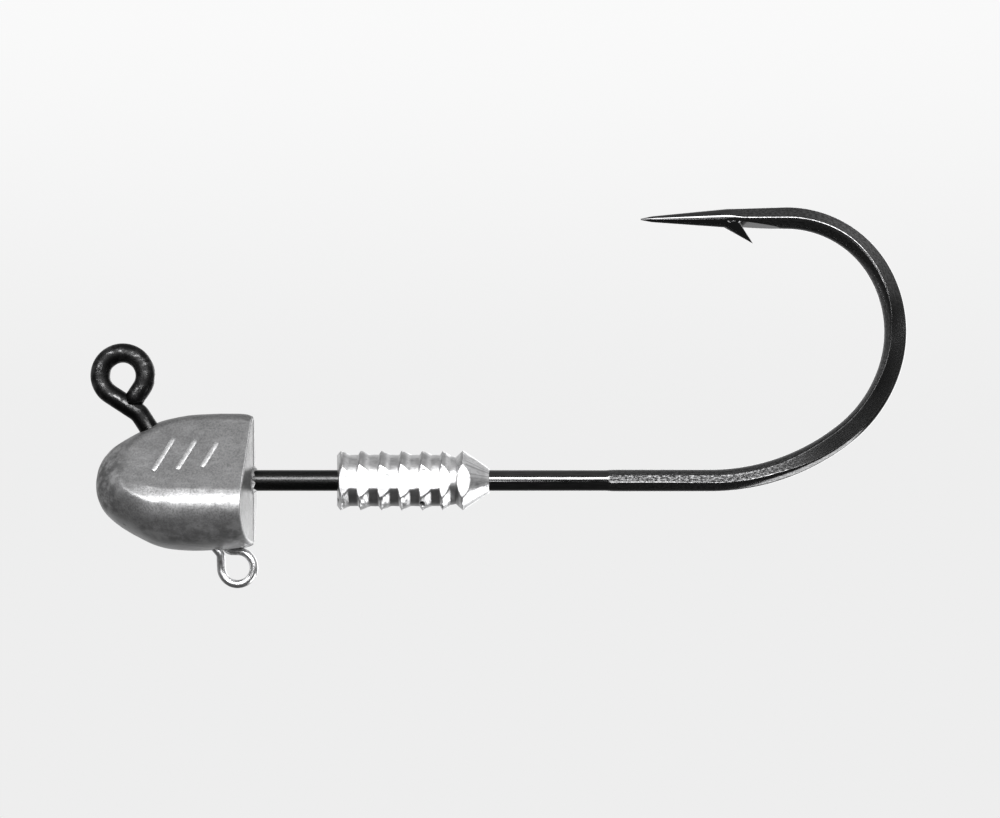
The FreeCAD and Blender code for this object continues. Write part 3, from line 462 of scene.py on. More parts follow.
# a painted reflection from below makes the lowest stretch pale up to a share of the height from belly to
# ridge, at the nose and behind it
UNDERLIGHT_RISE = (0.55, 0.30)
UNDERLIGHT_RISE_RUN = (2.5, 8.0)
UNDERLIGHT_START = 0.02
FLASH_WIDTH = 0.09  # the moulding line along top and belly
FLASH_HEIGHT = 0.07
FLASH_RUN = (0.1, 0.8)
# the moulding line is painted brighter by this share: a painted highlight along it
FLASH_HIGHLIGHT = 0.8
SKIN_RUN = 2.0  # the unevenness grows over this distance behind the nose
SLOW_WAVE = (0.45, 0.030)  # waves per millimetre and height
QUICK_WAVE = (1.7, 0.008)
BACK_LINE = (0.05, 0.07)  # height and width of the moulding line on the back face
# width of the band along the back's moulding line whose colour is made brighter
BACK_LINE_BRIGHT_WIDTH = 0.09
BACK_WAVE = (0.9, 0.012)
COLLAR_WIDTH = 0.20  # ragged lead round the shank
COLLAR_HEIGHT = (0.34, 0.50)  # its middle and how much it varies
COLLAR_WAVE = 2.0
# shallow pits of the near side: place along the head, height, radius, depth
PITS = ((-2.04, -1.25, 0.16, 0.09), (-11.25, -2.50, 0.20, 0.08), (-5.6, -3.3, 0.12, 0.05),
        (-13.1, 0.6, 0.14, 0.05), (-9.4, 0.4, 0.10, 0.04), (-3.6, -5.4, 0.13, 0.05))
PIT_REACH = 2.5
BELLY_STEPS, CORNER_STEPS, SIDE_STEPS, CROWN_STEPS = 34, 26, 38, 12
STEP_EASE = 1.25  # puts the outline's steps closer together at belly and top
HEAD_RINGS = 150
RIM_RINGS = 3
RIM_HIGHLIGHT_RINGS = (5, 2)  # rings before the rim over which a painted highlight brightens it
BACK_RINGS = 26


def station_at(place):
    """Smoothly blended station numbers; place counts stations."""
    last = len(HEAD_STATIONS) - 1
    low = min(int(place), last - 1)
    share = place - low
    around = [HEAD_STATIONS[min(last, max(0, low + offset))] for offset in (-1, 0, 1, 2)]
    blended = []
    for before, here, there, after in zip(*around):
        slope_here, slope_there = (there - before) / 2, (after - here) / 2
        square, cube = share * share, share * share * share
        blended.append((2 * cube - 3 * square + 1) * here + (cube - 2 * square + share) * slope_here
                       + (3 * square - 2 * cube) * there + (cube - square) * slope_there)
    return blended


def head_outline(top, belly, half, ridge, corner, crown):
    """One side of a cross-section from the belly's middle up to the top, as (across, height)."""
    reach = half - corner
    rise = ridge - belly
    round_belly = (reach * reach + rise * rise - corner * corner) / (2 * (rise - corner))
    belly_centre = belly + round_belly
    crown_centre = top - crown
    low = atan2(ridge - belly_centre, reach)
    span = hypot(reach, crown_centre - ridge)
    high = atan2(crown_centre - ridge, -reach) - acos((corner - crown) / span)
    outline = []

    def rim(across, height, radius, angle):
        return across + radius * cos(angle), height + radius * sin(angle)

    for index in range(BELLY_STEPS):
        share = (index / BELLY_STEPS) ** STEP_EASE
        outline.append(rim(0.0, belly_centre, round_belly, mix(-pi / 2, low, share)))
    for index in range(CORNER_STEPS):
        outline.append(rim(reach, ridge, corner, mix(low, high, index / CORNER_STEPS)))
    start, end = rim(reach, ridge, corner, high), rim(0.0, crown_centre, crown, high)
    for index in range(SIDE_STEPS):
        share = index / SIDE_STEPS
        outline.append((mix(start[0], end[0], share), mix(start[1], end[1], share)))
    for index in range(CROWN_STEPS + 1):
        share = 1.0 - (1.0 - index / CROWN_STEPS) ** STEP_EASE
        outline.append(rim(0.0, crown_centre, crown, mix(high, pi / 2, share)))
    outline[0] = (0.0, belly)
    outline[-1] = (0.0, top)
    return outline


def on_facet(x, across, height):
    """Presses a point of the blank back to the flat facet of its side."""
    reach = FACET_REACH + FACET_TAPER * (x - FACET_X)
    reach += FACET_RISE * smooth_step(x, FACET_X - FACET_RISE_RUN, FACET_X + FACET_RISE_RUN)
    soft = mix(*FACET_ROUND, smooth_step(x, NOSE_X + FACET_ROUND_FROM, FACET_X))
    excess = across * cos(FACET_SLOPE) + height * sin(FACET_SLOPE) - reach
    pressed = soft_excess(excess, soft)
    return across - pressed * cos(FACET_SLOPE), height - pressed * sin(FACET_SLOPE)


def ridge_highlight(x, height):
    """How much a painted highlight brightens the widest part of the side: sharp at the facet, fading towards
    the belly.
    """
    edge = RIDGE_EDGE + RIDGE_RISE * smooth_step(-x, RIDGE_FADE[0] - RIDGE_RISE_LEAD, RIDGE_FADE[1])
    band = smooth_step(-height, -edge, RIDGE_SHARP - edge)
    band *= smooth_step(height, edge - RIDGE_DEPTH, edge - RIDGE_FULL)
    middle, change = RIDGE_PATCHES
    patchy = middle + change * rough(x * RIDGE_PATCH_SCALE, 11.0, height * RIDGE_PATCH_SCALE)
    return min(1.0, patchy) * band * (1.0 - smooth_step(-x, *RIDGE_FADE))


def unevenness(x, y, z):
    """How far the casting's skin stands out of its ideal shape."""
    slow, slow_height = SLOW_WAVE
    quick, quick_height = QUICK_WAVE
    # the two added numbers only keep the patterns apart
    return (slow_height * rough(x * slow, y * slow + 7.0, z * slow)
            + quick_height * rough(x * quick, y * quick, z * quick + 3.0))


def pit_depth(x, z):
    """Depth of the pits of the near side at a place."""
    depth = 0.0
    for pit_x, pit_z, radius, deep in PITS:
        away = hypot(x - pit_x, z - pit_z) / radius
        if away < PIT_REACH:
            depth += deep * exp(-away * away)
    return depth


def head_ring(ring, place):
    """One ring round the casting: its points, how strong the painted highlights and other bright marks are at
    each, and how pale a painted reflection from below makes it.
    """
    back, top, belly, half, ridge, corner, crown = station_at(place)
    side = head_outline(top, belly, half, ridge, corner, crown)
    x = NOSE_X + back
    # the last rings round the edge of the back face
    turn = max(0, ring - HEAD_RINGS) / RIM_RINGS * pi / 2
    inset = RIM_ROUND * (1 - cos(turn))
    x -= RIM_ROUND * (1 - sin(turn)) if ring >= HEAD_RINGS else 0.0
    rim_highlight = smooth_step(ring, HEAD_RINGS - RIM_HIGHLIGHT_RINGS[0], HEAD_RINGS - RIM_HIGHLIGHT_RINGS[1])
    underlight_rise = mix(*UNDERLIGHT_RISE, smooth_step(back, *UNDERLIGHT_RISE_RUN))
    points, highlight_and_bright_marks, pale = [], [], []
    for across, height in side + [(-across, height) for across, height in side[-2:0:-1]]:
        pressed, height = on_facet(x, abs(across), height)
        sign = 1.0 if across > 0 else -1.0 if across < 0 else 0.0
        across = sign * pressed
        away = hypot(across, height - HEAD_MIDDLE_Z) or 1.0
        out_y, out_z = across / away, (height - HEAD_MIDDLE_Z) / away
        on_flash = exp(-(across / FLASH_WIDTH) ** 2)
        grow = unevenness(x, across, height) * smooth_step(back, 0.0, SKIN_RUN)
        if across < 0:
            grow -= pit_depth(x, height)
        grow += FLASH_HEIGHT * on_flash * smooth_step(back, *FLASH_RUN) - inset
        lean = abs(across) * BACK_DRAFT * smooth_step(x, *BACK_DRAFT_X)
        points.append((x - lean, across + out_y * grow, height + out_z * grow))
        highlight_and_bright_marks.append(max(FLASH_HIGHLIGHT * on_flash, rim_highlight, ridge_highlight(x, height)))
        # a painted reflection from below makes the lowest stretch pale
        pale.append(1.0 - smooth_step((height - belly) / (ridge - belly), UNDERLIGHT_START, underlight_rise))
    return points, highlight_and_bright_marks, pale


def back_point(y, z, share):
    """A point of the back face, a share of the way in from the rim to the wire, and how much brighter its
    colour is.
    """
    angle = atan2(z, y)
    in_y = mix(y, GRIP * cos(angle), share)
    in_z = mix(z, GRIP * sin(angle), share)
    line_height, line_width = BACK_LINE
    wave, wave_height = BACK_WAVE
    out = -abs(in_y) * BACK_DRAFT + line_height * exp(-(in_y / line_width) ** 2)
    out += wave_height * rough(3.0, in_y * wave, in_z * wave)
    collar = exp(-((hypot(in_y, in_z) - WIRE) / COLLAR_WIDTH) ** 2)
    middle, change = COLLAR_HEIGHT
    out += collar * (middle + change * rough(5.0, in_y * COLLAR_WAVE, in_z * COLLAR_WAVE))
    return (out, in_y, in_z), max(collar, exp(-(in_y / BACK_LINE_BRIGHT_WIDTH) ** 2))


def make_head(material):
    """The casting with its bars, and the masks that its material reads."""
    points, highlight_and_bright_marks, pale = [], [], []
    last = len(HEAD_STATIONS) - 1
    places = [last * (index / HEAD_RINGS) for index in range(HEAD_RINGS)] + [last] * (RIM_RINGS + 1)
    for ring, place in enumerate(places):
        ring_points, ring_highlight_and_marks, ring_pale = head_ring(ring, place)
        points += ring_points
        highlight_and_bright_marks += ring_highlight_and_marks
        pale += ring_pale
    # the back face runs in to the wire in rings, with the parting ridge down its middle
    around = len(ring_points)
    rim = points[-around:]
    for ring in range(1, BACK_RINGS + 1):
        for _, y, z in rim:
            point, brightness = back_point(y, z, ring / BACK_RINGS)
            points.append(point)
            highlight_and_bright_marks.append(brightness)
    faces = tube_faces(len(places) + BACK_RINGS, around, close_end=False)
    bars, bar_faces = gill_bar_shapes(len(points))
    points += bars
    faces += bar_faces
    head = make_piece("head_casting", points, faces, "lead_head", material)
    put_mask(head, "highlight_and_bright_marks", highlight_and_bright_marks + [BARS_HIGHLIGHT] * len(bars))
    put_mask(head, "pale", pale + [0.0] * (len(points) - len(pale)))


BAR_FIRST_X = -8.7
BAR_SPACING = 2.35
BAR_Z = 2.75
BAR_LENGTHS = (4.4, 3.9, 3.4)
BAR_WIDTH = 0.62
BAR_HEIGHT = 0.17
BAR_SINK = 0.03  # raises the bars' foot, and lowers their middle by as much
BAR_LEAN = radians(24.0)
BAR_END_POWER = 6  # how square a bar is along its length
BAR_END_WIDTH = 0.25  # share of the width left at its ends
BAR_SIDE_POWER = 0.6  # how square its cross-section is
BAR_GRAIN = 0.02
# the bars are painted brighter by this share: a painted highlight on the raised marks
BARS_HIGHLIGHT = 0.8
BAR_RINGS = 27
BAR_AROUND = 12


def squared(number):
    """Moves a sine or cosine towards 1 or -1, which squares off a circle."""
    return copysign(abs(number) ** BAR_SIDE_POWER, number)


def gill_bar_shapes(first):
    """Three leaning raised bars on both sides, rounded as they left the mould."""
    points, faces = [], []
    # up the slanting side leaning back, across that on the side, and out of the side
    slope_y, slope_z = sin(FACET_SLOPE), cos(FACET_SLOPE)
    along = (sin(BAR_LEAN), -slope_y * cos(BAR_LEAN), slope_z * cos(BAR_LEAN))
    wide = (cos(BAR_LEAN), slope_y * sin(BAR_LEAN), -slope_z * sin(BAR_LEAN))
    out = (0.0, slope_z, slope_y)
    for side in (-1.0, 1.0):
        for bar, length in enumerate(BAR_LENGTHS):
            middle_x = BAR_FIRST_X + bar * BAR_SPACING
            reach = FACET_REACH + BAR_SINK + min(0.0, FACET_TAPER * (middle_x - FACET_X))
            foot_y = (reach - BAR_Z * slope_y) / slope_z
            start = first + len(points)
            for ring in range(BAR_RINGS):
                share = 2.0 * ring / (BAR_RINGS - 1) - 1.0
                swell = (1.0 - abs(share) ** BAR_END_POWER) ** (1 / BAR_END_POWER)
                run = share * length / 2
                for step in range(BAR_AROUND):
                    angle = 2 * pi * step / BAR_AROUND
                    across = BAR_WIDTH / 2 * mix(BAR_END_WIDTH, 1.0, swell) * squared(cos(angle))
                    lift = BAR_HEIGHT * swell * squared(sin(angle)) - BAR_SINK
                    lift += BAR_GRAIN * rough(run * 3.0, step * 2.0, bar * 5.0)
                    x, y, z = [run * a + across * w + lift * o for a, w, o in zip(along, wide, out)]
                    points.append((middle_x + x, side * (foot_y + y), BAR_Z + z))
            bar_faces = tube_faces(BAR_RINGS, BAR_AROUND, start)
            faces += bar_faces if side < 0 else [tuple(reversed(face)) for face in bar_faces]
    return points, faces


# ---------------------------------------------------------------- the bait keeper
KEEPER_START = 8.62
KEEPER_RIM = 2.58
KEEPER_VALLEY = 2.65
KEEPER_CREST = 3.10
KEEPER_FIRST = 9.02  # place of the first crest
KEEPER_PITCH = 2.11
KEEPER_STEEP = 0.27
KEEPER_SLOPE = 1.01
KEEPER_TEETH = 6
KEEPER_LAST = (20.40, 2.55)  # foot of the last tooth, and the neck before the cone
KEEPER_NECK = (20.95, 2.43)
KEEPER_CONE = 21.66
KEEPER_END = (24.37, 1.24)
KEEPER_FLAT = 2.54
KEEPER_FLAT_WAVE = (0.5, 0.010)
KEEPER_FLAT_ROUND = 0.012
KEEPER_DRAFT = tan(radians(10.5))
KEEPER_DRAFT_RUN = (-0.1, 0.35)  # the front face's draft ends here, counted from the first crest
KEEPER_SKIN = (0.030, 0.010)  # heights of the slow and the quick unevenness
KEEPER_QUICK = 4.0
# the crests are torn: heights of the tears, how far they lie lower, and how far they wander along the shank
CREST_FROM = 0.15
CREST_TEARS = 0.05
CREST_WORN = 0.03
CREST_WANDER = 0.11
# gas holes in the lower crests of the near side: place along the shank, height, radius
KEEPER_HOLES = ((8.86, -2.05, 0.24), (17.50, -2.32, 0.25), (19.48, -2.62, 0.18))
HOLE_DEPTH = 0.10
HOLE_EDGE = (0.5, 1.1)
# shares of painted shade: upper and lower valleys, upper slopes, and the smooth and scored parts of the cone's
# upper side
VALLEY_SHADE = (0.25, 0.9)
SLOPE_SHADE = 0.8
CONE_SHADE = (0.2, 0.9)
CONE_SCORES = 11.0
CONE_SCORE_EDGE = (-0.1, 0.4)
CUT_BRIGHT = 0.03  # the painted shade is left off where the flats cut deeper than this
KEEPER_STEP = 0.07
KEEPER_FRONT_RINGS = 6
KEEPER_BACK_RINGS = 2
KEEPER_AROUND = 160


def hole_at(x, y, z):
    """1 in the middle of a gas hole, 0 away from them."""
    if y > 0.0:
        return 0.0
    start, end = HOLE_EDGE
    return max(1.0 - smooth_step(hypot(x - hole_x, z - hole_z), start * radius, end * radius)
               for hole_x, hole_z, radius in KEEPER_HOLES)


def keeper_outline():
    """Corners of the turned outline as (x, radius)."""
    corners = [(KEEPER_START, KEEPER_RIM)]
    for index in range(KEEPER_TEETH):
        crest = KEEPER_FIRST + index * KEEPER_PITCH
        if index > 0:
            corners.append((crest - KEEPER_STEEP, KEEPER_VALLEY))
        corners.append((crest, KEEPER_CREST))
        if index < KEEPER_TEETH - 1:
            corners.append((crest + KEEPER_SLOPE, KEEPER_VALLEY))
    corners += [KEEPER_LAST, KEEPER_NECK, (KEEPER_CONE, KEEPER_CREST), KEEPER_END]
    return corners


def keeper_stations():
    """Rings as (x, radius): out from the wire, along the outline and in to the wire again."""
    corners = keeper_outline()
    stations = []
    for ring in range(KEEPER_FRONT_RINGS):
        stations.append((KEEPER_START + 0.02, mix(GRIP, KEEPER_RIM, ring / KEEPER_FRONT_RINGS)))
    for (x, radius), (next_x, next_radius) in zip(corners, corners[1:]):
        count = max(2, ceil(hypot(next_x - x, next_radius - radius) / KEEPER_STEP))
        for index in range(count):
            stations.append((mix(x, next_x, index / count), mix(radius, next_radius, index / count)))
    stations.append(corners[-1])
    for ring in range(1, KEEPER_BACK_RINGS + 1):
        stations.append((KEEPER_END[0] - 0.01, mix(KEEPER_END[1], GRIP, ring / KEEPER_BACK_RINGS)))
    return stations


def keeper_point(x, radius, cosine, sine):
    """A point of the casting, how deep it lies in a gas hole and how deep the flats cut it."""
    crest = smooth_step(radius, KEEPER_VALLEY + CREST_FROM, KEEPER_CREST)
    spot = Vector((x * 1.3, cosine * 3.0, sine * 3.0))
    slow, quick = KEEPER_SKIN
    grow = slow * noise.noise(spot) + quick * noise.noise(spot * KEEPER_QUICK)
    grow += crest * (CREST_TEARS * noise.noise(spot * 2.3 + Vector((9.0, 0.0, 0.0))) - CREST_WORN)
    shift = crest * CREST_WANDER * noise.noise(spot * 1.7 + Vector((0.0, 4.0, 0.0)))
    out = radius + grow if radius > WIRE else radius
    y, z = out * cosine, out * sine
    wave, wave_height = KEEPER_FLAT_WAVE
    wall = KEEPER_FLAT + wave_height * rough(x * wave, z * wave, 2.0)
    cut = soft_excess(abs(y) - wall, KEEPER_FLAT_ROUND)
    y = copysign(abs(y) - cut, y)
    start, end = KEEPER_DRAFT_RUN
    draft = abs(y) * KEEPER_DRAFT * (1.0 - smooth_step(x, KEEPER_FIRST + start, KEEPER_FIRST + end))
    place = x + shift + draft
    hole = hole_at(place, y, z)
    left = 1.0 - HOLE_DEPTH * hole
    return (place, y * left, z * left), hole, cut


def keeper_shade(x, z, radius, cosine, sine):
    """How much painted shade darkens the skin: more in lower valleys than in upper ones, on the upper slopes,
    and on the cone's upper side, which is scored lengthwise.
    """
    if x > KEEPER_CONE:
        scored = smooth_step(rough(1.0, cosine * CONE_SCORES, sine * CONE_SCORES), *CONE_SCORE_EDGE)
        upper = smooth_step(z, -0.9, 0.2)
        return mix(*CONE_SHADE, scored) * smooth_step(x, KEEPER_CONE, KEEPER_CONE + 0.5) * upper
    painted_shade = 1.0 - smooth_step(radius, KEEPER_VALLEY + 0.02, KEEPER_VALLEY + 0.14)
    painted_shade *= mix(*VALLEY_SHADE, smooth_step(-z, 0.0, 1.2))
    painted_shade *= smooth_step(x, KEEPER_FIRST, KEEPER_FIRST + 0.5)
    slope = smooth_step(radius, KEEPER_VALLEY + 0.08, KEEPER_CREST - 0.12) * smooth_step(z, 0.3, 1.2)
    return max(painted_shade, SLOPE_SHADE * slope)


def make_keeper(material):
    """The toothed collar, and the masks that its material reads."""
    stations = keeper_stations()
    points, painted_shade, holes = [], [], []
    for x, radius in stations:
        for index in range(KEEPER_AROUND):
            angle = 2 * pi * index / KEEPER_AROUND
            cosine, sine = cos(angle), sin(angle)
            point, hole, cut = keeper_point(x, radius, cosine, sine)
            points.append(point)
            holes.append(hole)
            # painted shade, left off where the flats cut
            dull = keeper_shade(x, point[2], radius, cosine, sine)
            painted_shade.append(dull * (1.0 - smooth_step(cut, 0.0, CUT_BRIGHT)))
    faces = tube_faces(len(stations), KEEPER_AROUND, close_start=False, close_end=False)
    keeper = make_piece("keeper_casting", points, faces, "bait_keeper", material)
    put_mask(keeper, "painted_shade", painted_shade)
    put_mask(keeper, "hole", holes)


# ---------------------------------------------------------------- the belly eyelet
EYELET_WIRE = 0.425
EYELET_RADIUS = 1.69
EYELET_CENTRE = (-1.654, -9.022)
EYELET_DOWN = 1.11
EYELET_SLOPE = radians(50.7)
EYELET_BEND = 0.85
EYELET_RUN = 0.55
EYELET_LEGS = (2.5, 2.3)
EYELET_APART = 0.40  # half the distance between the two legs, which lie side by side
FRONT_LEG_MEETS = (-1.9, 0.3)  # where the front leg comes back to the middle, from the ring's start
REAR_LEG_PARTS = (5.4, 2.6)  # where the rear leg leaves it, from the wire's end
EYELET_WOBBLE = 0.03
EYELET_STEP = 0.07
EYELET_AROUND = 36


def make_eyelet(material):
    """The ring with its two legs, which slope forward into the head."""
    side_x = EYELET_CENTRE[0] - EYELET_RADIUS
    leg = Path(side_x, EYELET_CENTRE[1], pi / 2, EYELET_STEP)
    leg.line(EYELET_DOWN).arc(EYELET_BEND, pi / 2 - EYELET_SLOPE).line(EYELET_LEGS[0])
    whole = leg.length
    stops = [(x, z, heading + pi, whole - run) for x, z, heading, run in reversed(leg.stops)]
    ring = Path(side_x, EYELET_CENTRE[1], -pi / 2, EYELET_STEP)
    ring.arc(EYELET_RADIUS, 1.5 * pi).line(EYELET_RUN)
    ring.arc(EYELET_BEND, -EYELET_SLOPE).line(EYELET_LEGS[1])
    stops += [(x, z, heading, whole + run) for x, z, heading, run in ring.stops[1:]]
    total = stops[-1][3]

    def section(run, x, angle):
        front = 1.0 - smooth_step(run, whole + FRONT_LEG_MEETS[0], whole + FRONT_LEG_MEETS[1])
        rear = smooth_step(run, total - REAR_LEG_PARTS[0], total - REAR_LEG_PARTS[1])
        wobble = 1.0 + EYELET_WOBBLE * rough(run * 1.2, cos(angle), sin(angle))
        across, left = EYELET_WIRE * cos(angle), EYELET_WIRE * sin(angle)
        return across * wobble + EYELET_APART * (rear - front), left * wobble

    points = sweep(stops, EYELET_AROUND, section)
    faces = tube_faces(len(stops), EYELET_AROUND)
    eyelet = make_piece("eyelet_wire", points, faces, "belly_eyelet", material)
    lay_out(eyelet, "run", EYELET_AROUND, [stop[3] for stop in stops], 2 * pi * EYELET_WIRE)


# ---------------------------------------------------------------- shader nodes
# sockets of a mix node: its two ends and its result
MIX_SOCKETS = {"RGBA": (6, 7, 2), "FLOAT": (2, 3, 0)}


def grey(shade):
    """A neutral metal colour with a trace of blue."""
    return (shade, shade, shade * 1.01, 1.0)


class Nodes:
    """A small writer of shader node trees."""

    def __init__(self, tree):
        self.tree = tree
        tree.nodes.clear()

    def add(self, kind, **settings):
        node = self.tree.nodes.new(kind)
        for name, setting in settings.items():
            setattr(node, name, setting)
        return node

    def link(self, source, target):
        self.tree.links.new(source, target)

    def fill(self, target, item):
        """Gives an input a number or a colour, or links a socket to it."""
        if isinstance(item, (float, tuple)):
            target.default_value = item
        else:
            self.link(item, target)

    def math(self, operation, first, second):
        """A sum, product and so on of sockets or numbers."""
        node = self.add("ShaderNodeMath", operation=operation)
        self.fill(node.inputs[0], first)
        self.fill(node.inputs[1], second)
        return node.outputs[0]

    def spread(self, source, low, high, to_low, to_high):
        """A socket's range from low to high, moved smoothly to another range and clamped there."""
        node = self.add("ShaderNodeMapRange", interpolation_type="SMOOTHSTEP")
        self.link(source, node.inputs["Value"])
        for name, number in (("From Min", low), ("From Max", high), ("To Min", to_low), ("To Max", to_high)):
            node.inputs[name].default_value = number
        return node.outputs["Result"]

    def noise(self, vector, scale, detail, roughness):
        """Cloudy noise from 0 to 1; scale counts its lumps per unit of the vector."""
        node = self.add("ShaderNodeTexNoise")
        node.inputs["Scale"].default_value = scale
        node.inputs["Detail"].default_value = detail
        node.inputs["Roughness"].default_value = roughness
        self.link(vector, node.inputs["Vector"])
        return node.outputs["Fac"]

    def stretched(self, vector, x, y, z):
        node = self.add("ShaderNodeMapping")
        node.inputs["Scale"].default_value = (x, y, z)
        self.link(vector, node.inputs["Vector"])
        return node.outputs["Vector"]

    def parts(self, vector):
        """A vector's X, Y and Z."""
        node = self.add("ShaderNodeSeparateXYZ")
        self.link(vector, node.inputs[0])
        return node.outputs

    def mask(self, name):
        """A number per vertex that the mesh carries."""
        return self.add("ShaderNodeAttribute", attribute_name=name).outputs["Fac"]

    def blend(self, factor, first, second, kind="RGBA"):
        """A colour or number between two, where the factor is a socket."""
        start, end, result = MIX_SOCKETS[kind]
        node = self.add("ShaderNodeMix", data_type=kind)
        self.link(factor, node.inputs["Factor"])
        self.fill(node.inputs[start], first)
        self.fill(node.inputs[end], second)
        return node.outputs[result]

    def tones(self, source, low, high, first, second):
        """A grey that goes from the first shade to the second while a socket goes from low to high."""
        return self.blend(self.spread(source, low, high, 0.0, 1.0), grey(first), grey(second))

    def between(self, factor, first, second):
        """A number between two."""
        return self.blend(factor, first, second, "FLOAT")

    def bump(self, height, strength, depth, normal=None):
        """A normal from a height, whose depth is in millimetres."""
        node = self.add("ShaderNodeBump")
        node.inputs["Strength"].default_value = strength
        node.inputs["Distance"].default_value = depth * MM
        self.link(height, node.inputs["Height"])
        if normal is not None:
            self.link(normal, node.inputs["Normal"])
        return node.outputs["Normal"]


def new_material(name, metallic=1.0):
    """A material's nodes, the inputs of its principled shader, and the place on the object in metres."""
    material = bpy.data.materials.new(name)
    material.use_nodes = True
    nodes = Nodes(material.node_tree)
    shader = nodes.add("ShaderNodeBsdfPrincipled")
    shader.inputs["Metallic"].default_value = metallic
    output = nodes.add("ShaderNodeOutputMaterial")
    nodes.link(shader.outputs["BSDF"], output.inputs["Surface"])
    place = nodes.add("ShaderNodeTexCoord").outputs["Object"]
    return material, nodes, shader.inputs, place


def finish(nodes, inputs, colour, roughness, normal):
    """Links what drives a material's shader."""
    for name, socket in (("Base Color", colour), ("Roughness", roughness), ("Normal", normal)):
        nodes.link(socket, inputs[name])


# ---------------------------------------------------------------- materials
# noise counts its lumps per metre on the castings, and per millimetre along the wires
DULL_SHANK_X = (8.0 * MM, 14.0 * MM)  # the shank is dull up to the keeper, which hides where that ends
DARK_NECK_Z = (6.0 * MM, 10.5 * MM)  # the neck is darker than the eye's ring above it
# the belly is painted lighter towards the bottom, a painted light from below
BELLY_LIGHT_Z = (-5.5 * MM, -2.5 * MM)
STAINED_X = (-15.2 * MM, -11.2 * MM)  # the nose has lost its bright skin
LEAD_METALLIC = 0.72


def black_nickel():
    """Plated hook wire: glossy where it was drawn, mottled where the forge pressed it, dull at the eye."""
    material, nodes, inputs, place = new_material("black_nickel")
    run = nodes.add("ShaderNodeUVMap", uv_map="run").outputs["UV"]
    parts = nodes.parts(place)
    forged, dimpled = nodes.mask("forged"), nodes.mask("dimpled")
    worked, neck = nodes.mask("worked"), nodes.mask("neck")
    streak = nodes.noise(nodes.stretched(run, 0.35, 5.0, 1.0), scale=1.6, detail=5.0, roughness=0.6)
    fleck = nodes.noise(nodes.stretched(run, 3.2, 6.0, 1.0), scale=1.0, detail=6.0, roughness=0.7)
    cloud = nodes.noise(place, scale=900.0, detail=5.0, roughness=0.62)
    dull_shank = nodes.spread(parts["X"], *DULL_SHANK_X, 1.0, 0.0)

    plate = nodes.tones(streak, 0.35, 0.7, 0.075, 0.125)
    plate = nodes.blend(dull_shank, plate, nodes.tones(fleck, 0.4, 0.65, 0.026, 0.042))
    rolled = nodes.tones(fleck, 0.38, 0.66, 0.07, 0.20)
    dull = nodes.tones(cloud, 0.44, 0.62, 0.014, 0.080)
    shaded = nodes.blend(nodes.spread(parts["Z"], *DARK_NECK_Z, 0.80, 0.0), dull, grey(0.006))
    # the press left the flat mottled at its start and smoother round the bend
    mottled = nodes.tones(fleck, 0.42, 0.70, 0.006, 0.088)
    speckled = nodes.tones(fleck, 0.55, 0.72, 0.012, 0.040)
    pressed = nodes.blend(dimpled, speckled, mottled)
    skin = nodes.blend(forged, nodes.blend(neck, nodes.blend(worked, plate, rolled), shaded), pressed)
    colour = nodes.blend(nodes.mask("cut"), skin, grey(0.50))

    rough_plate = nodes.spread(streak, 0.3, 0.7, 0.09, 0.15)
    rough_plate = nodes.math("ADD", rough_plate, nodes.math("MULTIPLY", dull_shank, 0.17))
    rough_worked = nodes.spread(fleck, 0.3, 0.7, 0.19, 0.11)
    rough_neck = nodes.spread(cloud, 0.40, 0.62, 0.46, 0.22)
    rough_pressed = nodes.spread(fleck, 0.3, 0.7, 0.32, 0.20)
    rough_round = nodes.between(neck, nodes.between(worked, rough_plate, rough_worked), rough_neck)
    roughness = nodes.between(forged, rough_round, rough_pressed)

    fine = nodes.bump(streak, strength=0.10, depth=0.012)
    lumps = nodes.bump(nodes.math("MULTIPLY", cloud, neck), strength=0.55, depth=0.120, normal=fine)
    dimples = nodes.math("ADD", dimpled, nodes.math("MULTIPLY", worked, 0.25))
    dented = nodes.bump(nodes.math("MULTIPLY", fleck, dimples), strength=0.35, depth=0.045, normal=lumps)
    finish(nodes, inputs, colour, roughness, dented)
    return material


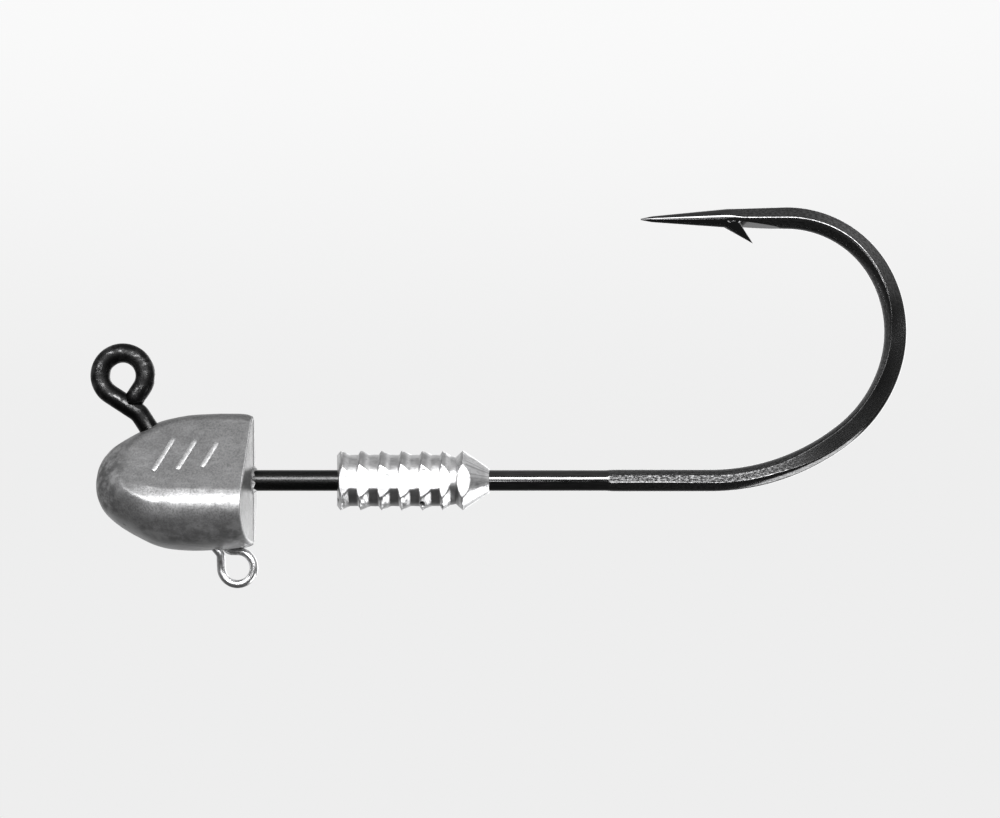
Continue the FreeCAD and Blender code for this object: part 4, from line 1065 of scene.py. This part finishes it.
def cast_lead():
    """Dull cast lead: fine grain all over, dark stains round the nose, a belly made paler by painted light
    from below, and brighter marks, mostly painted highlights.
    """
    material, nodes, inputs, place = new_material("cast_lead", LEAD_METALLIC)
    parts = nodes.parts(place)
    # the painted reflection from below on the lowest stretch
    pale = nodes.mask("pale")
    grain = nodes.noise(place, scale=5200.0, detail=5.0, roughness=0.7)
    cloud = nodes.noise(place, scale=620.0, detail=6.0, roughness=0.62)
    drag = nodes.noise(nodes.stretched(place, 0.25, 1.0, 1.0), scale=2600.0, detail=4.0, roughness=0.6)
    blotch = nodes.noise(place, scale=900.0, detail=6.0, roughness=0.65)
    speck = nodes.noise(place, scale=1500.0, detail=2.0, roughness=0.5)

    clean = nodes.tones(grain, 0.3, 0.7, 0.10, 0.18)
    # the belly is painted paler towards the bottom, a painted light from below, and its lowest stretch paler
    # still, a painted reflection
    belly_light = nodes.spread(parts["Z"], *BELLY_LIGHT_Z, 0.6, 0.0)
    clean = nodes.blend(belly_light, clean, nodes.tones(cloud, 0.40, 0.62, 0.15, 0.37))
    clean = nodes.blend(pale, clean, grey(0.56))
    streaked = nodes.blend(nodes.spread(drag, 0.45, 0.75, 0.0, 0.4), clean, grey(0.22))
    nose = nodes.spread(parts["X"], *STAINED_X, 1.0, 0.0)
    bare_nose = nodes.math("MULTIPLY", nose, nodes.math("SUBTRACT", 1.0, pale))
    stained = nodes.blend(bare_nose, streaked, nodes.tones(blotch, 0.34, 0.64, 0.28, 0.072))
    spotted = nodes.blend(nodes.spread(speck, 0.68, 0.76, 0.0, 0.6), stained, grey(0.08))
    # painted highlights on the widest part of the side, the back face's rim, the moulding lines and bars, and
    # brighter marks on the back face
    highlight_and_bright_marks = nodes.blend(nodes.mask("highlight_and_bright_marks"), spotted, nodes.tones(grain, 0.35, 0.6, 0.24, 0.44))
    roughness = nodes.spread(cloud, 0.3, 0.7, 0.38, 0.46)
    coarse = nodes.bump(cloud, strength=0.28, depth=0.060)
    fine = nodes.bump(grain, strength=0.50, depth=0.016, normal=coarse)
    finish(nodes, inputs, highlight_and_bright_marks, roughness, fine)
    return material


def keeper_lead():
    """Bright casting of the keeper: scraped streaks along it, painted shade in its valleys, on its upper
    slopes and on its cone, dark gas holes.
    """
    material, nodes, inputs, place = new_material("keeper_lead")
    cloud = nodes.noise(place, scale=1100.0, detail=5.0, roughness=0.6)
    drag = nodes.noise(nodes.stretched(place, 0.3, 1.0, 1.0), scale=4200.0, detail=4.0, roughness=0.6)
    fleck = nodes.noise(nodes.stretched(place, 0.6, 1.0, 1.6), scale=1300.0, detail=2.0, roughness=0.5)

    colour = nodes.tones(cloud, 0.3, 0.7, 0.66, 0.84)
    scraped = nodes.blend(nodes.spread(drag, 0.50, 0.70, 0.0, 0.7), colour, grey(0.48))
    # the painted shade darkens the colour towards grey
    dull = nodes.blend(nodes.mask("painted_shade"), scraped, grey(0.36))
    flecked = nodes.blend(nodes.spread(fleck, 0.72, 0.76, 0.0, 0.8), dull, grey(0.12))
    holed = nodes.blend(nodes.mask("hole"), flecked, grey(0.025))
    roughness = nodes.spread(cloud, 0.3, 0.7, 0.28, 0.36)
    coarse = nodes.bump(cloud, strength=0.20, depth=0.025)
    fine = nodes.bump(drag, strength=0.30, depth=0.014, normal=coarse)
    finish(nodes, inputs, holed, roughness, fine)
    return material


def eyelet_steel():
    """Bright stainless wire with drawing marks along it."""
    material, nodes, inputs, place = new_material("eyelet_steel")
    run = nodes.add("ShaderNodeUVMap", uv_map="run").outputs["UV"]
    streak = nodes.noise(nodes.stretched(run, 0.5, 9.0, 1.0), scale=1.5, detail=4.0, roughness=0.6)
    cloud = nodes.noise(place, scale=2400.0, detail=4.0, roughness=0.6)
    colour = nodes.tones(cloud, 0.35, 0.7, 0.56, 0.78)
    roughness = nodes.spread(streak, 0.3, 0.7, 0.24, 0.36)
    coarse = nodes.bump(cloud, strength=0.25, depth=0.020)
    fine = nodes.bump(streak, strength=0.20, depth=0.010, normal=coarse)
    finish(nodes, inputs, colour, roughness, fine)
    return material


# ---------------------------------------------------------------- studio, in metres
AIM = (0.0255, 0.0, 0.0)
CAMERA_PLACE = (0.02549, -0.1675, 0.00739)
CAMERA_LENS = 58.3
# the sky that the metals reflect: grey from the horizon up
SKY_HEIGHT = (0.0, 0.85)
SKY_SHADE = (0.10, 0.46)
# what stands round the object: direction, cosines where it starts and where it is full, brightness
SKY_LOBES = (
    ((0.35, 0.93, 0.0), 0.87, 0.975, 3.1),
    ((-0.95, 0.30, 0.0), 0.50, 0.95, 0.30),
    ((0.0, 1.0, 0.0), 0.35, 0.85, 0.50),
    ((0.86, 0.10, 0.42), 0.60, 0.96, 0.45),
)
# soft lights: name, direction from the object, distance, width, height, power in watts
SOFT_BOXES = (
    ("front_box", (0.0, -0.899, 0.438), 0.33, 0.50, 0.11, 3.2),
    ("keeper_card", (-0.05, -0.996, -0.078), 0.33, 0.042, 0.030, 0.045),
    ("right_card", (0.66, 0.12, -0.74), 0.25, 0.22, 0.14, 0.34),
)
BACKDROP_RADIUS = 0.60
BACKDROP_FLOOR = -0.11
BACKDROP_CURVE = 0.20
BACKDROP_TOP = 0.50
BACKDROP_STEPS = 16
BACKDROP_AROUND = 96
BACKDROP_SHADE = (0.855, 0.956)  # brightness below and above these heights
BACKDROP_SHADE_Z = (-0.02, 0.22)


def lobe(nodes, direction, toward, low, high, strength):
    """Brightness round one direction of the studio, from nothing at cosine low to full at cosine high."""
    dot = nodes.add("ShaderNodeVectorMath", operation="DOT_PRODUCT")
    nodes.link(direction, dot.inputs[0])
    dot.inputs[1].default_value = Vector(toward).normalized()
    return nodes.spread(dot.outputs["Value"], low, high, 0.0, strength)


def make_world():
    """What the metals reflect: dark below, grey above, a bright wall behind on the right."""
    world = bpy.data.worlds.new("studio")
    bpy.context.scene.world = world
    world.use_nodes = True
    nodes = Nodes(world.node_tree)
    direction = nodes.add("ShaderNodeTexCoord").outputs["Generated"]
    shade = nodes.spread(nodes.parts(direction)["Z"], *SKY_HEIGHT, *SKY_SHADE)
    for part in SKY_LOBES:
        shade = nodes.math("ADD", shade, lobe(nodes, direction, *part))
    background = nodes.add("ShaderNodeBackground")
    nodes.link(shade, background.inputs["Strength"])
    output = nodes.add("ShaderNodeOutputWorld")
    nodes.link(background.outputs[0], output.inputs["Surface"])


def soft_box(name, toward, distance, width, height, power):
    """A rectangular studio light that faces the object from one direction."""
    data = bpy.data.lights.new(name, "AREA")
    data.shape = "RECTANGLE"
    data.size = width
    data.size_y = height
    data.energy = power
    light = add_object(name, data)
    aside = Vector(toward).normalized()
    light.location = Vector(AIM) + aside * distance
    light.rotation_mode = "QUATERNION"
    light.rotation_quaternion = (-aside).to_track_quat("-Z", "Y")
    light.visible_camera = False


def backdrop_outline():
    """The backdrop's outline from the edge of its flat floor up its wall, as (distance, height)."""
    outline = []
    for index in range(BACKDROP_STEPS + 1):
        angle = index / BACKDROP_STEPS * pi / 2
        outline.append((BACKDROP_RADIUS - BACKDROP_CURVE + BACKDROP_CURVE * sin(angle),
                        BACKDROP_FLOOR + BACKDROP_CURVE * (1 - cos(angle))))
    outline.append((BACKDROP_RADIUS, BACKDROP_TOP))
    return outline


def pale_paper():
    """The backdrop's own even light, which takes no shadow."""
    material, nodes, inputs, place = new_material("pale_paper", metallic=0.0)
    shade = nodes.spread(nodes.parts(place)["Z"], *BACKDROP_SHADE_Z, *BACKDROP_SHADE)
    for name, setting in (("Base Color", (0.0, 0.0, 0.0, 1.0)), ("Emission Color", (1.0, 1.0, 1.0, 1.0)),
                          ("Roughness", 1.0), ("Specular IOR Level", 0.0)):
        inputs[name].default_value = setting
    nodes.link(shade, inputs["Emission Strength"])
    return material


def make_backdrop():
    """A pale round sweep: a floor below the object that curves up into a wall all round."""
    outline = backdrop_outline()
    points = [(0.0, 0.0, BACKDROP_FLOOR)]
    for away, height in outline:
        for index in range(BACKDROP_AROUND):
            angle = 2 * pi * index / BACKDROP_AROUND
            points.append((away * cos(angle), away * sin(angle), height))
    faces = [(0, 1 + index, 1 + (index + 1) % BACKDROP_AROUND) for index in range(BACKDROP_AROUND)]
    faces += tube_faces(len(outline), BACKDROP_AROUND, 1, close_start=False, close_end=False)
    backdrop = add_mesh("backdrop", points, faces, pale_paper())
    backdrop.visible_glossy = False
    backdrop.visible_diffuse = False
    backdrop.visible_shadow = False


def make_camera():
    """Looks along +Y at the middle of the object."""
    data = bpy.data.cameras.new("camera")
    data.lens = CAMERA_LENS
    data.sensor_width = 36.0
    data.clip_start = 0.01
    camera = add_object("camera", data)
    camera.location = CAMERA_PLACE
    camera.rotation_euler = (radians(90.0), 0.0, 0.0)
    bpy.context.scene.camera = camera


# ---------------------------------------------------------------- the whole scene
make_camera()
make_hook(black_nickel())
make_head(cast_lead())
make_keeper(keeper_lead())
make_eyelet(eyelet_steel())
make_world()
for box in SOFT_BOXES:
    soft_box(*box)
make_backdrop()
bpy.context.scene.view_settings.view_transform = "Standard"
